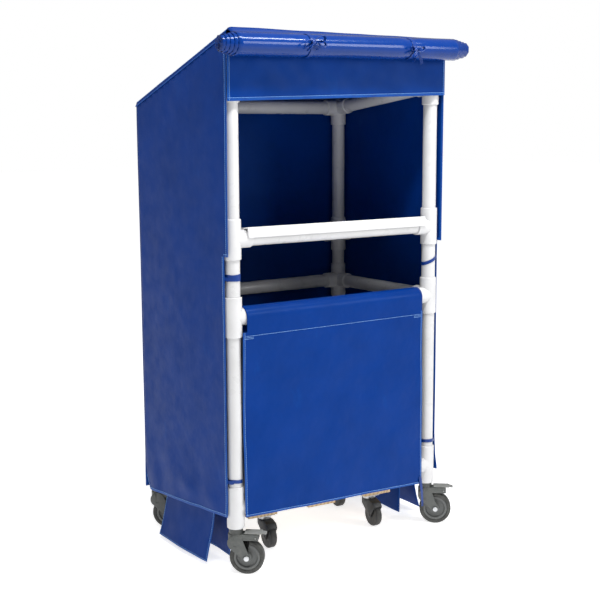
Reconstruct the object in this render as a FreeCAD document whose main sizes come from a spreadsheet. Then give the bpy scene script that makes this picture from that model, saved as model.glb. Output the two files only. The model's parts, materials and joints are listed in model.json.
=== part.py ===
"""Towel and linen trolley.

A white plastic pipe frame on four total-lock casters carries a sloping shelf and a blue vinyl
cover.  The cover's front curtain is rolled up above the shelf, a flap hangs below the return
opening, and a wooden-footed bin on small casters stands inside the frame.

The origin is on the floor under the middle of the trolley's outline.  +X is the user's right,
+Y goes to the back and +Z is up.  Pieces are laid out from the middle of the four posts, and
each finished piece is then moved back to suit the origin.  Lengths are in millimetres, angles
in degrees.
"""

import FreeCAD, Part
import os
import Sketcher

SIZES = [
    # origin
    ("posts_behind", 35.0, "how far the posts' middle is behind the origin"),
    # pipe frame
    ("post_across", 718.0, "between post axes, left to right"),
    ("post_deep", 467.0, "between post axes, front to back"),
    ("pipe_outer", 42.2, "pipe outside diameter"),
    ("pipe_wall", 3.55, "pipe wall thickness"),
    ("fitting_wall", 4.1, "fitting wall thickness"),
    ("fitting_arm", 31.1, "length of a fitting's arm past its body"),
    ("base_arm", 35.7, "length of a base fitting's upright arm past its body"),
    ("elbow_arm", 17.3, "length of an elbow's arm past its body"),
    ("socket_depth", 32.0, "how far a pipe goes into a fitting"),
    ("elbow_socket", 22.0, "how far a pipe goes into an elbow"),
    ("socket_gap", 0.1, "between a pipe and its socket, on the radius"),
    ("arm_chamfer", 1.6, "chamfer on the end of an arm"),
    ("rail_slope", 7.0, "fall of the shelf and top side rails to the back"),
    ("return_level", 743.0, "centre of the return rails"),
    ("shelf_level", 960.0, "centre of the front shelf rail"),
    ("top_level", 1387.0, "centre of the front top fittings"),
    ("valance_level", 1487.0, "centre of the valance rail"),
    # shelf
    ("tray_inset", 36.0, "post axis to the end of the shelf"),
    ("tray_sheet", 4.0, "shelf sheet thickness"),
    ("tray_lip", 30.0, "height of the front lip"),
    ("rest_gap", 0.3, "between a piece and what it rests on"),
    ("past_face", 1.0, "how far a cutter or a joined piece runs past a face"),
    # cover
    ("cover_sheet", 3.0, "cover sheet thickness with its slack"),
    ("cover_gap", 2.7, "between the fittings and the inside of the cover"),
    ("roof_slack", 1.0, "height of the roof above the top fittings"),
    ("roof_drop", 18.0, "roof plane down to the side seams"),
    ("roof_bend", 17.0, "width of the bent edge of the roof"),
    ("seam_gap", 0.6, "roof's bent edge down to a side panel"),
    ("sheet_gap", 1.0, "between two sheets of the cover"),
    ("back_margin", 2.0, "roof's bend in to the top edge of the back"),
    ("valance_margin", 6.0, "top edge of the back in and down to the valance's"),
    ("panel_front", 26.0, "front post axis to the front edge of a side panel"),
    ("panel_step_back", 20.0, "how far the lower front edge is set back"),
    ("panel_step_level", 915.0, "where the front edge steps back"),
    ("hem_front", 172.0, "side hem above the floor at the front"),
    ("hem_back", 132.0, "side hem above the floor at the back"),
    ("hem_corner", 36.0, "cut corner at the back of the side hem"),
    ("valance_front", 30.0, "front post axis to the valance"),
    ("valance_left", 1334.0, "valance lower edge at the left"),
    ("valance_right", 1360.0, "valance lower edge at the right"),
    ("roll_radius", 32.0, "rolled curtain radius"),
    ("roll_end_radius", 22.0, "radius of the telescoped ends"),
    ("roll_end", 44.0, "length of a telescoped end"),
    ("roll_overhang", 77.0, "post axis to the end of the rolled curtain"),
    ("roll_left", 1479.0, "roll axis above the floor at the left end"),
    ("roll_tilt", 0.9, "rise of the roll to the right"),
    ("strap_sheet", 1.5, "strap thickness"),
    ("strap_gap", 0.5, "between a strap and what it goes round"),
    ("curtain_tie_width", 16.0, "width of a curtain tie"),
    ("curtain_tie_left", -155.0, "left curtain tie"),
    ("curtain_tie_right", 210.0, "right curtain tie"),
    ("post_tie_width", 18.0, "width of a post tie"),
    ("post_tie_upper", 855.0, "upper post ties above the floor"),
    ("post_tie_lower", 275.0, "lower post ties above the floor"),
    # return flap
    ("flap_left_inset", 15.0, "left post axis to the left edge of the flap"),
    ("flap_right_inset", 47.0, "right post axis to the right edge of the flap"),
    ("flap_shoulder", 42.0, "return rail down to where the flap's left edge steps out"),
    ("sleeve_end_gap", 2.7, "between a fitting's body and the end of the flap's sleeve"),
    ("flap_sheet", 2.4, "flap thickness with its hem"),
    ("flap_sleeve_gap", 1.6, "between the fittings and the flap's sleeve"),
    ("flap_sleeve_sheet", 1.5, "sleeve thickness"),
    ("flap_left", 170.0, "flap lower edge at the left"),
    ("flap_right", 146.0, "flap lower edge at the right"),
    # loose skirts between the casters
    ("skirt_sheet", 3.0, "skirt thickness"),
    ("skirt_drop", 2.7, "base fittings down to the top of the skirts"),
    ("skirt_bottom", 15.0, "bottom of the skirts"),
    ("skirt_front", 86.0, "front post axis back to the front edge of the skirts"),
    ("skirt_back", 96.5, "back post axis forward to the back edge of the skirts"),
    ("skirt_outer_top", 19.0, "post axis out to an outer skirt at its top"),
    ("skirt_outer_bottom", 50.0, "post axis out to an outer skirt at its bottom"),
    ("skirt_inner", 32.0, "post axis in to an inner skirt"),
    # outer casters
    ("caster_gap", 0.3, "between a turning piece and its neighbour"),
    ("wheel_radius", 50.0, "outer caster wheel radius"),
    ("wheel_width", 30.0, "outer caster tyre width"),
    ("tyre_shoulder", 3.0, "bevel on the tyre's shoulders"),
    ("hub_radius", 38.0, "outer caster hub radius"),
    ("hub_rim", 7.0, "depth of the hub's rim"),
    ("hub_width", 26.0, "outer caster hub width at its rim"),
    ("hub_web", 12.0, "outer caster hub web thickness"),
    ("boss_radius", 13.0, "outer caster hub boss radius"),
    ("boss_width", 31.0, "outer caster hub boss width"),
    ("hub_slope", 2.0, "width of the slopes between boss, web and rim"),
    ("rim_gap", 0.1, "between a hub and its tyre"),
    ("caster_turn", 40.0, "how far the casters are swung round to the front"),
    ("caster_trail", 32.0, "swivel axis to the wheel axle"),
    ("fork_width", 45.0, "fork width over its legs"),
    ("crown_width", 40.0, "fork width over its crown"),
    ("fork_slot", 33.0, "space between the legs"),
    ("fork_clearance", 3.0, "between the tyre and the crown"),
    ("crown_thick", 15.5, "crown thickness over the tyre"),
    ("fork_head_radius", 23.0, "round head of the fork"),
    ("fork_head_depth", 34.0, "depth of the round head"),
    ("crown_end", 66.0, "swivel axis to the end of the crown"),
    ("crown_depth", 17.0, "depth of the crown"),
    ("leg_head", 23.0, "radius of the round top of a leg"),
    ("leg_head_drop", 24.0, "fork top down to the middle of a leg's round top"),
    ("leg_round", 9.0, "radius of the round foot of a leg"),
    ("axle_radius", 4.0, "outer caster axle radius"),
    ("axle_head", 7.5, "axle bolt head radius"),
    ("axle_head_depth", 4.0, "axle bolt head depth"),
    ("running_gap", 0.05, "between a shaft and its hole, on the radius"),
    ("stem_gap", 0.7, "between a stem sleeve and its socket"),
    ("stem_length", 47.0, "length of the stem sleeve"),
    ("stem_shown", 16.2, "length of stem sleeve below its socket"),
    ("kingpin_radius", 6.0, "swivel pin radius"),
    ("kingpin_length", 12.0, "swivel pin length"),
    ("pin_end_gap", 0.5, "under the end of a swivel pin"),
    ("pedal_pivot_out", 58.0, "swivel axis to the pedal pivot"),
    ("pedal_pivot_drop", 9.0, "fork top down to the pedal pivot"),
    ("pedal_pin_radius", 2.5, "pedal pin radius"),
    ("pedal_knuckle", 4.5, "pedal knuckle radius"),
    ("pedal_knuckle_width", 22.0, "pedal knuckle width"),
    ("pedal_side_gap", 0.5, "between the knuckle and the fork"),
    ("pedal_swing_gap", 4.5, "room for the knuckle to turn"),
    ("pedal_width", 34.0, "pedal tongue width"),
    ("pedal_tip_width", 20.0, "pedal tongue width at its tip"),
    ("pedal_rise", 1.5, "fork top to the underside of the tongue"),
    ("pedal_sheet", 4.0, "pedal tongue thickness"),
    ("pedal_start", 26.0, "swivel axis to the back of the tongue"),
    ("pedal_bend", 76.0, "swivel axis to the bend near the tip"),
    ("pedal_end", 88.0, "swivel axis to the tip of the tongue"),
    ("pedal_tip_drop", 2.0, "how far the tip bends down"),
    # bin and its dolly
    ("dolly_right", 27.0, "centre line to the middle of the dolly"),
    ("dolly_forward", 8.0, "post centre line to the middle of the dolly"),
    ("dolly_turn", 5.5, "how far the dolly is parked askew"),
    ("runner_width", 98.0, "wooden runner width"),
    ("runner_thick", 24.0, "wooden runner thickness"),
    ("runner_inset", 36.0, "bin wall in to the end of a runner"),
    ("runner_setback", 4.0, "bin wall in to the side of an outer runner"),
    ("bin_room_across", 99.0, "post axes in to the bin, left and right"),
    ("bin_room_deep", 63.5, "post axes in to the bin, front and back"),
    ("bin_floor_sheet", 6.0, "bin floor thickness"),
    ("bin_wall", 4.0, "bin wall thickness"),
    ("bin_top", 680.0, "top of the bin above the floor"),
    ("bolt_radius", 4.0, "runner bolt radius"),
    ("bolt_head", 8.0, "runner bolt head radius"),
    ("bolt_head_depth", 5.0, "runner bolt head depth"),
    ("bolt_from_end", 22.0, "runner end to its bolt"),
    # dolly casters
    ("dolly_inset_across", 17.0, "middle of an outer runner in to a swivel axis"),
    ("dolly_inset_deep", 25.0, "runner end in to a swivel axis"),
    ("dolly_wheel_radius", 36.0, "dolly wheel radius"),
    ("dolly_wheel_width", 22.0, "dolly wheel width"),
    ("dolly_shoulder", 3.0, "bevel on the dolly wheel's shoulders"),
    ("dolly_trail", 27.0, "dolly swivel axis to its wheel axle"),
    ("dolly_axle_radius", 3.0, "dolly axle radius"),
    ("dolly_rivet", 1.5, "how far a dolly axle stands out of its fork"),
    ("dolly_fork_width", 32.0, "dolly fork width over its legs"),
    ("dolly_fork_slot", 25.0, "space between the dolly fork's legs"),
    ("dolly_fork_clearance", 2.5, "between the dolly wheel and its crown"),
    ("dolly_crown_thick", 11.5, "dolly crown thickness over its wheel"),
    ("dolly_crown_back", 23.0, "dolly swivel axis to where its crown starts to slope"),
    ("dolly_crown_brow", 45.0, "dolly swivel axis to the brow over its wheel"),
    ("dolly_crown_brow_drop", 7.0, "dolly fork top down to the brow"),
    ("dolly_crown_lip", 53.0, "dolly swivel axis to the lip of its crown"),
    ("dolly_crown_lip_drop", 20.0, "dolly fork top down to the lip"),
    ("dolly_leg_back", 18.0, "dolly swivel axis back to the edge of the legs"),
    ("dolly_fork_drop", 12.0, "runner underside down to the dolly fork"),
    ("dolly_head_radius", 20.0, "round head of the dolly fork"),
    ("dolly_head_depth", 8.0, "depth of the dolly fork's head"),
    ("dolly_leg_round", 9.0, "round foot of a dolly fork leg"),
    ("dolly_plate", 48.0, "dolly top plate side"),
    ("dolly_plate_sheet", 2.5, "dolly top plate thickness"),
    ("dolly_race_radius", 21.0, "dolly raceway radius"),
    ("dolly_pin_radius", 4.0, "dolly swivel pin radius"),
    ("dolly_pin_length", 6.0, "dolly swivel pin length"),
]

doc = FreeCAD.newDocument("linen_trolley")
dims = doc.addObject("Spreadsheet::Sheet", "dims")
for row, (alias, value, meaning) in enumerate(SIZES, start=1):
    dims.set("A%d" % row, meaning)
    dims.set("B%d" % row, str(value))
    dims.setAlias("B%d" % row, alias)
doc.recompute()

ALONG_X = FreeCAD.Vector(1, 0, 0)
ALONG_Y = FreeCAD.Vector(0, 1, 0)
ALONG_Z = FreeCAD.Vector(0, 0, 1)

HALF_ACROSS = "dims.post_across / 2"
HALF_DEEP = "dims.post_deep / 2"
FITTING_RADIUS = "(dims.pipe_outer / 2 + dims.socket_gap + dims.fitting_wall)"
SOCKET_RADIUS = "(dims.pipe_outer / 2 + dims.socket_gap)"
PIPE_BORE_RADIUS = "(dims.pipe_outer / 2 - dims.pipe_wall)"
REACH = "(%s + dims.fitting_arm)" % FITTING_RADIUS
BASE_REACH = "(%s + dims.base_arm)" % FITTING_RADIUS
ELBOW_REACH = "(%s + dims.elbow_arm)" % FITTING_RADIUS
FORK_TOP = "(2 * dims.wheel_radius + dims.fork_clearance + dims.crown_thick)"
STEM_BOTTOM = "(%s + dims.caster_gap)" % FORK_TOP
BASE_LEVEL = "(%s + dims.stem_shown + %s)" % (STEM_BOTTOM, BASE_REACH)
BACK_FALL = "dims.post_deep * tan(dims.rail_slope * 1deg)"
BACK_SHELF_LEVEL = "(dims.shelf_level - %s)" % BACK_FALL
BACK_TOP_LEVEL = "(dims.top_level - %s)" % BACK_FALL
SOCKET_STOP = "(%s - dims.socket_depth)" % REACH
ELBOW_STOP = "(%s - dims.elbow_socket)" % ELBOW_REACH
BASE_STOP = "(%s - dims.socket_depth)" % BASE_REACH

sub_parts = []


# ---------------------------------------------------------------- shared makers

def keep(thing, label):
    """Names a finished sub-part, moves it to the origin and lists it to be written."""
    bound = {path.lstrip("."): expression for path, expression in thing.ExpressionEngine}
    depth = bound.get("Placement.Base.y", "0")
    thing.setExpression("Placement.Base.y", "%s + dims.posts_behind" % depth)
    thing.Label = label
    sub_parts.append(thing)
    return thing


def place(thing, x="0", y="0", z="0", axis=None, turn="0"):
    """Ties a piece's position, and its turn about one axis, to the sheet."""
    if axis is not None:
        thing.Placement = FreeCAD.Placement(FreeCAD.Vector(), FreeCAD.Rotation(axis, 90))
        thing.setExpression("Placement.Rotation.Angle", turn)
    thing.setExpression("Placement.Base.x", x)
    thing.setExpression("Placement.Base.y", y)
    thing.setExpression("Placement.Base.z", z)
    return thing


def compound(name, pieces):
    together = doc.addObject("Part::Compound", name)
    together.Links = pieces
    return together


def group(label, pieces):
    """Several like pieces that share one name, each still a solid of its own."""
    return keep(compound(label, pieces), label)


def cylinder(name, radius, length, **where):
    rod = doc.addObject("Part::Cylinder", name)
    rod.setExpression("Radius", radius)
    rod.setExpression("Height", length)
    return place(rod, **where)


def cone(name, radius, end_radius, length, **where):
    tip = doc.addObject("Part::Cone", name)
    tip.setExpression("Radius1", radius)
    tip.setExpression("Radius2", end_radius)
    tip.setExpression("Height", length)
    return place(tip, **where)


def block(name, across, deep, high, **where):
    brick = doc.addObject("Part::Box", name)
    brick.setExpression("Length", across)
    brick.setExpression("Width", deep)
    brick.setExpression("Height", high)
    return place(brick, **where)


def fuse(name, pieces):
    whole = doc.addObject("Part::MultiFuse", name)
    whole.Shapes = pieces
    whole.Refine = False
    return whole


def cut(name, base, tool):
    rest = doc.addObject("Part::Cut", name)
    rest.Base = base
    rest.Tool = tool
    rest.Refine = False
    return rest


def mirror_across(name, source):
    """The left-hand copy of a right-hand piece."""
    copy = doc.addObject("Part::Mirroring", name)
    copy.Source = source
    copy.Normal = ALONG_X
    return copy


def new_body(name):
    return doc.addObject("PartDesign::Body", name)


def new_sketch(body, name, role):
    """A sketch on one of the body's own origin planes."""
    plane = [feature for feature in body.Origin.OriginFeatures if feature.Role == role][0]
    sketch = body.newObject("Sketcher::SketchObject", name)
    sketch.AttachmentSupport = (plane, [""])
    sketch.MapMode = "FlatFace"
    return sketch


def number(sketch, expression):
    return float(sketch.evalExpression(expression))


def tie_point(sketch, geometry, point, across, up):
    for kind, expression in (("DistanceX", across), ("DistanceY", up)):
        value = number(sketch, expression)
        index = sketch.addConstraint(Sketcher.Constraint(kind, -1, 1, geometry, point, value))
        sketch.setExpression("Constraints[%d]" % index, expression)


def outline(sketch, corners):
    """Draws a closed outline whose corners are pairs of expressions."""
    points = [FreeCAD.Vector(number(sketch, across), number(sketch, up), 0) for across, up in corners]
    for start, end in zip(points, points[1:] + points[:1]):
        sketch.addGeometry(Part.LineSegment(start, end))
    for index in range(len(points)):
        after = (index + 1) % len(points)
        sketch.addConstraint(Sketcher.Constraint("Coincident", index, 2, after, 1))
    for index, (across, up) in enumerate(corners):
        tie_point(sketch, index, 1, across, up)


def rectangle(sketch, low_across, high_across, low_up, high_up):
    outline(sketch, [(low_across, low_up), (high_across, low_up),
                     (high_across, high_up), (low_across, high_up)])


def ring(sketch, radii, across="0", up="0"):
    """Draws concentric circles about one point."""
    for radius in radii:
        size = number(sketch, radius)
        centre = FreeCAD.Vector(number(sketch, across), number(sketch, up), 0)
        circle = sketch.addGeometry(Part.Circle(centre, ALONG_Z, size))
        tie_point(sketch, circle, 3, across, up)
        index = sketch.addConstraint(Sketcher.Constraint("Radius", circle, size))
        sketch.setExpression("Constraints[%d]" % index, radius)


def extrude(body, kind, sketch, length, middle=True):
    """Pads or pockets a sketch, half to each side when middle is set."""
    feature = body.newObject("PartDesign::" + kind, "%s_of_%s" % (kind, sketch.Name))
    feature.Profile = sketch
    feature.Midplane = middle
    feature.setExpression("Length", length)
    return feature


def turn_round(body, kind, sketch):
    """Revolves or grooves a sketch about its own upright axis."""
    feature = body.newObject("PartDesign::" + kind, "%s_of_%s" % (kind, sketch.Name))
    feature.Profile = sketch
    feature.ReferenceAxis = (sketch, ["V_Axis"])
    feature.Angle = 360
    return feature


def sheet_piece(name, role, corners, thickness, middle=False):
    """A flat piece cut to an outline and given its thickness."""
    body = new_body(name)
    sketch = new_sketch(body, name + "_outline", role)
    outline(sketch, corners)
    extrude(body, "Pad", sketch, thickness, middle)
    return body


# ---------------------------------------------------------------- pipe frame

def pipe(name, length, **where):
    """A length of pipe that runs up from the origin until it is placed."""
    body = new_body(name)
    sketch = new_sketch(body, name + "_section", "XY_Plane")
    ring(sketch, ["dims.pipe_outer / 2", PIPE_BORE_RADIUS])
    extrude(body, "Pad", sketch, length, middle=False)
    return place(body, **where)


def signed(sign, expression):
    return "%d * %s" % (sign, expression)


def post_pipes(label, low_level, high_level, rows, low_stop=SOCKET_STOP, high_stop=SOCKET_STOP):
    """The upright pipes between two levels; rows pairs each row's side with its fall."""
    pieces = []
    for depth_side, fall in rows:
        for side in (-1, 1):
            name = "%s_%d" % (label, len(pieces))
            low = "%s - %s + %s" % (low_level, fall[0], low_stop)
            length = "(%s - %s) - (%s - %s) - %s - %s" % (
                high_level, fall[1], low_level, fall[0], low_stop, high_stop)
            pieces.append(pipe(name, length, x=signed(side, HALF_ACROSS),
                               y=signed(depth_side, HALF_DEEP), z=low))
    return group(label, pieces)


post_pipes("lower_post_pipes", BASE_LEVEL, "dims.return_level",
           [(-1, ("0", "0")), (1, ("0", "0"))], low_stop=BASE_STOP)
post_pipes("middle_post_pipes", "dims.return_level", "dims.shelf_level",
           [(-1, ("0", "0")), (1, ("0", BACK_FALL))])
post_pipes("upper_post_pipes", "dims.shelf_level", "dims.top_level",
           [(-1, ("0", "0")), (1, (BACK_FALL, BACK_FALL))])
post_pipes("front_top_pipes", "dims.top_level", "dims.valance_level",
           [(-1, ("0", "0"))], high_stop=ELBOW_STOP)


def cross_pipe(name, depth_side, level, stop=SOCKET_STOP):
    """A rail that runs left to right between two fittings."""
    return pipe(name, "dims.post_across - 2 * %s" % stop, x="%s - %s" % (stop, HALF_ACROSS),
                y=signed(depth_side, HALF_DEEP), z=level, axis=ALONG_Y, turn="90")


def side_pipes(name, level, slope="0"):
    """Two rails that run front to back, falling by the slope."""
    pieces = []
    for side in (-1, 1):
        pieces.append(pipe(
            "%s_%d" % (name, len(pieces)),
            "dims.post_deep / cos(%s * 1deg) - 2 * %s" % (slope, SOCKET_STOP),
            x=signed(side, HALF_ACROSS),
            y="%s * cos(%s * 1deg) - %s" % (SOCKET_STOP, slope, HALF_DEEP),
            z="%s - %s * sin(%s * 1deg)" % (level, SOCKET_STOP, slope),
            axis=ALONG_X, turn="-90 - %s" % slope))
    return pieces


group("base_rails", [cross_pipe("base_front", -1, BASE_LEVEL), cross_pipe("base_back", 1, BASE_LEVEL)]
      + side_pipes("base_side", BASE_LEVEL))
group("return_rails", [cross_pipe("return_front", -1, "dims.return_level"),
                       cross_pipe("return_back", 1, "dims.return_level")]
      + side_pipes("return_side", "dims.return_level"))
group("shelf_rails", [cross_pipe("shelf_front", -1, "dims.shelf_level"),
                      cross_pipe("shelf_back", 1, BACK_SHELF_LEVEL)]
      + side_pipes("shelf_side", "dims.shelf_level", "dims.rail_slope"))
group("top_rails", [cross_pipe("top_back", 1, BACK_TOP_LEVEL)]
      + side_pipes("top_side", "dims.top_level", "dims.rail_slope"))
keep(cross_pipe("valance_rail", -1, "dims.valance_level", ELBOW_STOP), "valance_rail")

UP = (ALONG_X, "0")
DOWN = (ALONG_X, "180")
INWARD = (ALONG_Y, "-90")
TO_BACK = (ALONG_X, "-90")
TO_FRONT = (ALONG_X, "90")
DOWN_TO_BACK = (ALONG_X, "-90 - dims.rail_slope")
UP_TO_FRONT = (ALONG_X, "90 - dims.rail_slope")


def fitting(name, arms, depth_side, level, socket="dims.socket_depth"):
    """A right-hand moulded fitting; arms lists a direction and a reach for each arm."""
    outsides = []
    insides = []
    for index, ((axis, turn), reach) in enumerate(arms):
        arm = "%s_%d" % (name, index)
        straight = cylinder(arm + "_arm", FITTING_RADIUS, "%s - dims.arm_chamfer" % reach)
        mouth = cone(arm + "_mouth", FITTING_RADIUS, FITTING_RADIUS + " - dims.arm_chamfer",
                     "dims.arm_chamfer", z="%s - dims.arm_chamfer" % reach)
        outsides.append(place(fuse(arm + "_outside", [straight, mouth]), axis=axis, turn=turn))
        socket_bore = cylinder(arm + "_socket", SOCKET_RADIUS, socket, z="%s - %s" % (reach, socket))
        waterway = cylinder(arm + "_waterway", PIPE_BORE_RADIUS, reach)
        insides.append(place(fuse(arm + "_inside", [socket_bore, waterway]), axis=axis, turn=turn))
    moulding = cut(name, fuse(name + "_outside", outsides), fuse(name + "_inside", insides))
    return place(moulding, x=HALF_ACROSS, y=signed(depth_side, HALF_DEEP), z=level)


def fitting_group(label, right_hand):
    """The right-hand fittings of one level with their left-hand copies."""
    pieces = []
    for index, moulding in enumerate(right_hand):
        pieces += [moulding, mirror_across("%s_left_%d" % (label, index), moulding)]
    return group(label, pieces)


fitting_group("base_fittings", [
    fitting("base_front_fitting", [(UP, BASE_REACH), (DOWN, BASE_REACH), (INWARD, REACH), (TO_BACK, REACH)],
            -1, BASE_LEVEL),
    fitting("base_back_fitting", [(UP, BASE_REACH), (DOWN, BASE_REACH), (INWARD, REACH), (TO_FRONT, REACH)],
            1, BASE_LEVEL)])
fitting_group("return_fittings", [
    fitting("return_front_fitting", [(UP, REACH), (DOWN, REACH), (INWARD, REACH), (TO_BACK, REACH)],
            -1, "dims.return_level"),
    fitting("return_back_fitting", [(UP, REACH), (DOWN, REACH), (INWARD, REACH), (TO_FRONT, REACH)],
            1, "dims.return_level")])
fitting_group("shelf_fittings", [
    fitting("shelf_front_fitting", [(UP, REACH), (DOWN, REACH), (INWARD, REACH), (DOWN_TO_BACK, REACH)],
            -1, "dims.shelf_level"),
    fitting("shelf_back_fitting", [(UP, REACH), (DOWN, REACH), (INWARD, REACH), (UP_TO_FRONT, REACH)],
            1, BACK_SHELF_LEVEL)])
fitting_group("top_fittings", [
    fitting("top_front_fitting", [(UP, REACH), (DOWN, REACH), (DOWN_TO_BACK, REACH)], -1, "dims.top_level"),
    fitting("top_back_fitting", [(DOWN, REACH), (INWARD, REACH), (UP_TO_FRONT, REACH)],
            1, BACK_TOP_LEVEL)])
fitting_group("valance_elbows", [
    fitting("valance_elbow", [(DOWN, ELBOW_REACH), (INWARD, ELBOW_REACH)], -1, "dims.valance_level",
            socket="dims.elbow_socket")])


# ---------------------------------------------------------------- shelf

def make_shelf_tray():
    """A folded sheet with a front lip, lying on the shelf fittings and sloping with the rails."""
    under = "(%s + dims.rest_gap)" % FITTING_RADIUS
    top = "(%s + dims.tray_sheet)" % under
    lip_face = "-" + top
    back = "(dims.post_deep / cos(dims.rail_slope * 1deg))"
    tray = sheet_piece("tray", "YZ_Plane", [
        (lip_face, "%s - dims.tray_lip" % top),
        ("-" + under, "%s - dims.tray_lip" % top),
        ("-" + under, under),
        (back, under),
        (back, top),
        (lip_face, top)], "dims.post_across - 2 * dims.tray_inset", middle=True)
    place(tray, y=signed(-1, HALF_DEEP), z="dims.shelf_level", axis=ALONG_X, turn="-dims.rail_slope")
    return keep(tray, "shelf_tray")


make_shelf_tray()


# ---------------------------------------------------------------- vinyl cover

PANEL_INSIDE = "(%s + %s + dims.cover_gap)" % (HALF_ACROSS, FITTING_RADIUS)
PANEL_FRONT = "(-dims.post_deep / 2 - dims.panel_front)"
BACK_INSIDE = "(%s + %s + dims.cover_gap)" % (HALF_DEEP, FITTING_RADIUS)
BACK_OUTSIDE = "(%s + dims.cover_sheet)" % BACK_INSIDE
ROOF_ANGLE = "atan((dims.valance_level - %s) / dims.post_deep)" % BACK_TOP_LEVEL
ROOF_FLAT = "(%s + dims.cover_sheet - dims.roof_bend - dims.back_margin)" % PANEL_INSIDE
ROOF_LIFT = "((%s + dims.rest_gap + dims.roof_slack) / cos(%s))" % (FITTING_RADIUS, ROOF_ANGLE)


def roof_height(depth):
    """The underside of the flat of the roof, at a depth from the post centre line."""
    return "(dims.valance_level + %s - (%s + %s) * tan(%s))" % (ROOF_LIFT, depth, HALF_DEEP, ROOF_ANGLE)


def seam_height(depth):
    """The top of a side panel, where the roof's bent edge ends."""
    return "(%s - dims.roof_drop / cos(%s) - dims.seam_gap)" % (roof_height(depth), ROOF_ANGLE)


def make_side_panel(side, label):
    """A hanging side, stepped at its front edge and cut at its lower back corner."""
    step_back = "(%s + dims.panel_step_back)" % PANEL_FRONT
    panel = sheet_piece(label + "_panel", "YZ_Plane", [
        (step_back, "dims.hem_front"),
        ("%s - dims.hem_corner" % BACK_INSIDE, "dims.hem_back"),
        ("%s - dims.sheet_gap" % BACK_INSIDE, "dims.hem_back + dims.hem_corner"),
        ("%s - dims.sheet_gap" % BACK_INSIDE, seam_height(BACK_INSIDE)),
        (PANEL_FRONT, seam_height(PANEL_FRONT)),
        (PANEL_FRONT, "dims.panel_step_level"),
        (step_back, "dims.panel_step_level")], "dims.cover_sheet", middle=True)
    place(panel, x=signed(side, "(%s + dims.cover_sheet / 2)" % PANEL_INSIDE))
    return keep(panel, label)


def make_cover_roof():
    """A sheet that lies on the top rails, with both long edges bent down to the side seams."""
    half = "(%s + dims.cover_sheet)" % PANEL_INSIDE
    flat = "(%s - dims.roof_bend)" % half
    roof = sheet_piece("roof", "XZ_Plane", [
        (half, "-dims.roof_drop"),
        (half, "dims.cover_sheet - dims.roof_drop"),
        (flat, "dims.cover_sheet"),
        ("-" + flat, "dims.cover_sheet"),
        ("-" + half, "dims.cover_sheet - dims.roof_drop"),
        ("-" + half, "-dims.roof_drop"),
        ("-" + flat, "0"),
        (flat, "0")],
        "(%s - %s) / cos(%s)" % (BACK_OUTSIDE, PANEL_FRONT, ROOF_ANGLE), middle=True)
    middle_depth = "((%s + %s) / 2)" % (BACK_OUTSIDE, PANEL_FRONT)
    place(roof, y=middle_depth, z=roof_height(middle_depth), axis=ALONG_X, turn="-%s / 1deg" % ROOF_ANGLE)
    return keep(roof, "cover_roof")


def make_cover_back():
    """The closed back, cut to the roof's bent edges at its top."""
    top = "(%s - dims.sheet_gap)" % roof_height(BACK_OUTSIDE)
    back = sheet_piece("back", "XZ_Plane", [
        ("-" + PANEL_INSIDE, "dims.hem_back"),
        (PANEL_INSIDE, "dims.hem_back"),
        (PANEL_INSIDE, seam_height(BACK_OUTSIDE)),
        (ROOF_FLAT, top),
        ("-" + ROOF_FLAT, top),
        ("-" + PANEL_INSIDE, seam_height(BACK_OUTSIDE))], "dims.cover_sheet", middle=True)
    place(back, y="%s + dims.cover_sheet / 2" % BACK_INSIDE)
    return keep(back, "cover_back")


VALANCE_FACE = "(-dims.post_deep / 2 - dims.valance_front)"


def make_valance():
    """The front apron, a little lower at the left than at the right."""
    side_top = "(%s - dims.valance_margin)" % seam_height(PANEL_FRONT)
    top = "(%s - 2 * dims.sheet_gap)" % roof_height(PANEL_FRONT)
    apron = sheet_piece("apron", "XZ_Plane", [
        ("-" + PANEL_INSIDE, "dims.valance_left"),
        (PANEL_INSIDE, "dims.valance_right"),
        (PANEL_INSIDE, side_top),
        (ROOF_FLAT + " - dims.valance_margin", top),
        ("dims.valance_margin - " + ROOF_FLAT, top),
        ("-" + PANEL_INSIDE, side_top)], "dims.cover_sheet", middle=True)
    place(apron, y="%s - dims.cover_sheet / 2" % VALANCE_FACE)
    return keep(apron, "valance")


make_side_panel(-1, "cover_left")
make_side_panel(1, "cover_right")
make_cover_roof()
make_cover_back()
make_valance()

ROLL_LENGTH = "(dims.post_across + 2 * dims.roll_overhang)"
ROLL_Y = "(%s - dims.cover_sheet - dims.strap_sheet - 2 * dims.strap_gap - dims.roll_radius)" % VALANCE_FACE


def on_roll(thing, along):
    """Lays a piece along the roll's tilted axis, a distance from the roll's middle."""
    middle = "(dims.roll_left + %s / 2 * sin(dims.roll_tilt * 1deg))" % ROLL_LENGTH
    return place(thing, x="(%s) * cos(dims.roll_tilt * 1deg)" % along, y=ROLL_Y,
                 z="%s + (%s) * sin(dims.roll_tilt * 1deg)" % (middle, along),
                 axis=ALONG_Y, turn="90 - dims.roll_tilt")


def make_rolled_curtain():
    """The front curtain rolled up tight, its ends telescoped out of the roll."""
    straight = "(%s - 2 * dims.roll_end)" % ROLL_LENGTH
    core = cylinder("roll_core", "dims.roll_radius", straight, z="-%s / 2" % straight)
    high_end = cone("roll_high_end", "dims.roll_radius", "dims.roll_end_radius", "dims.roll_end",
                    z="%s / 2" % straight)
    low_end = cone("roll_low_end", "dims.roll_end_radius", "dims.roll_radius", "dims.roll_end",
                   z="-%s / 2" % ROLL_LENGTH)
    roll = on_roll(fuse("roll", [core, high_end, low_end]), "0")
    return keep(roll, "rolled_curtain")


def band(name, inside, thickness, width):
    """A strap round a tube, centred on its own middle."""
    body = new_body(name)
    sketch = new_sketch(body, name + "_section", "XY_Plane")
    ring(sketch, [inside, "%s + %s" % (inside, thickness)])
    extrude(body, "Pad", sketch, width)
    return body


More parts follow.
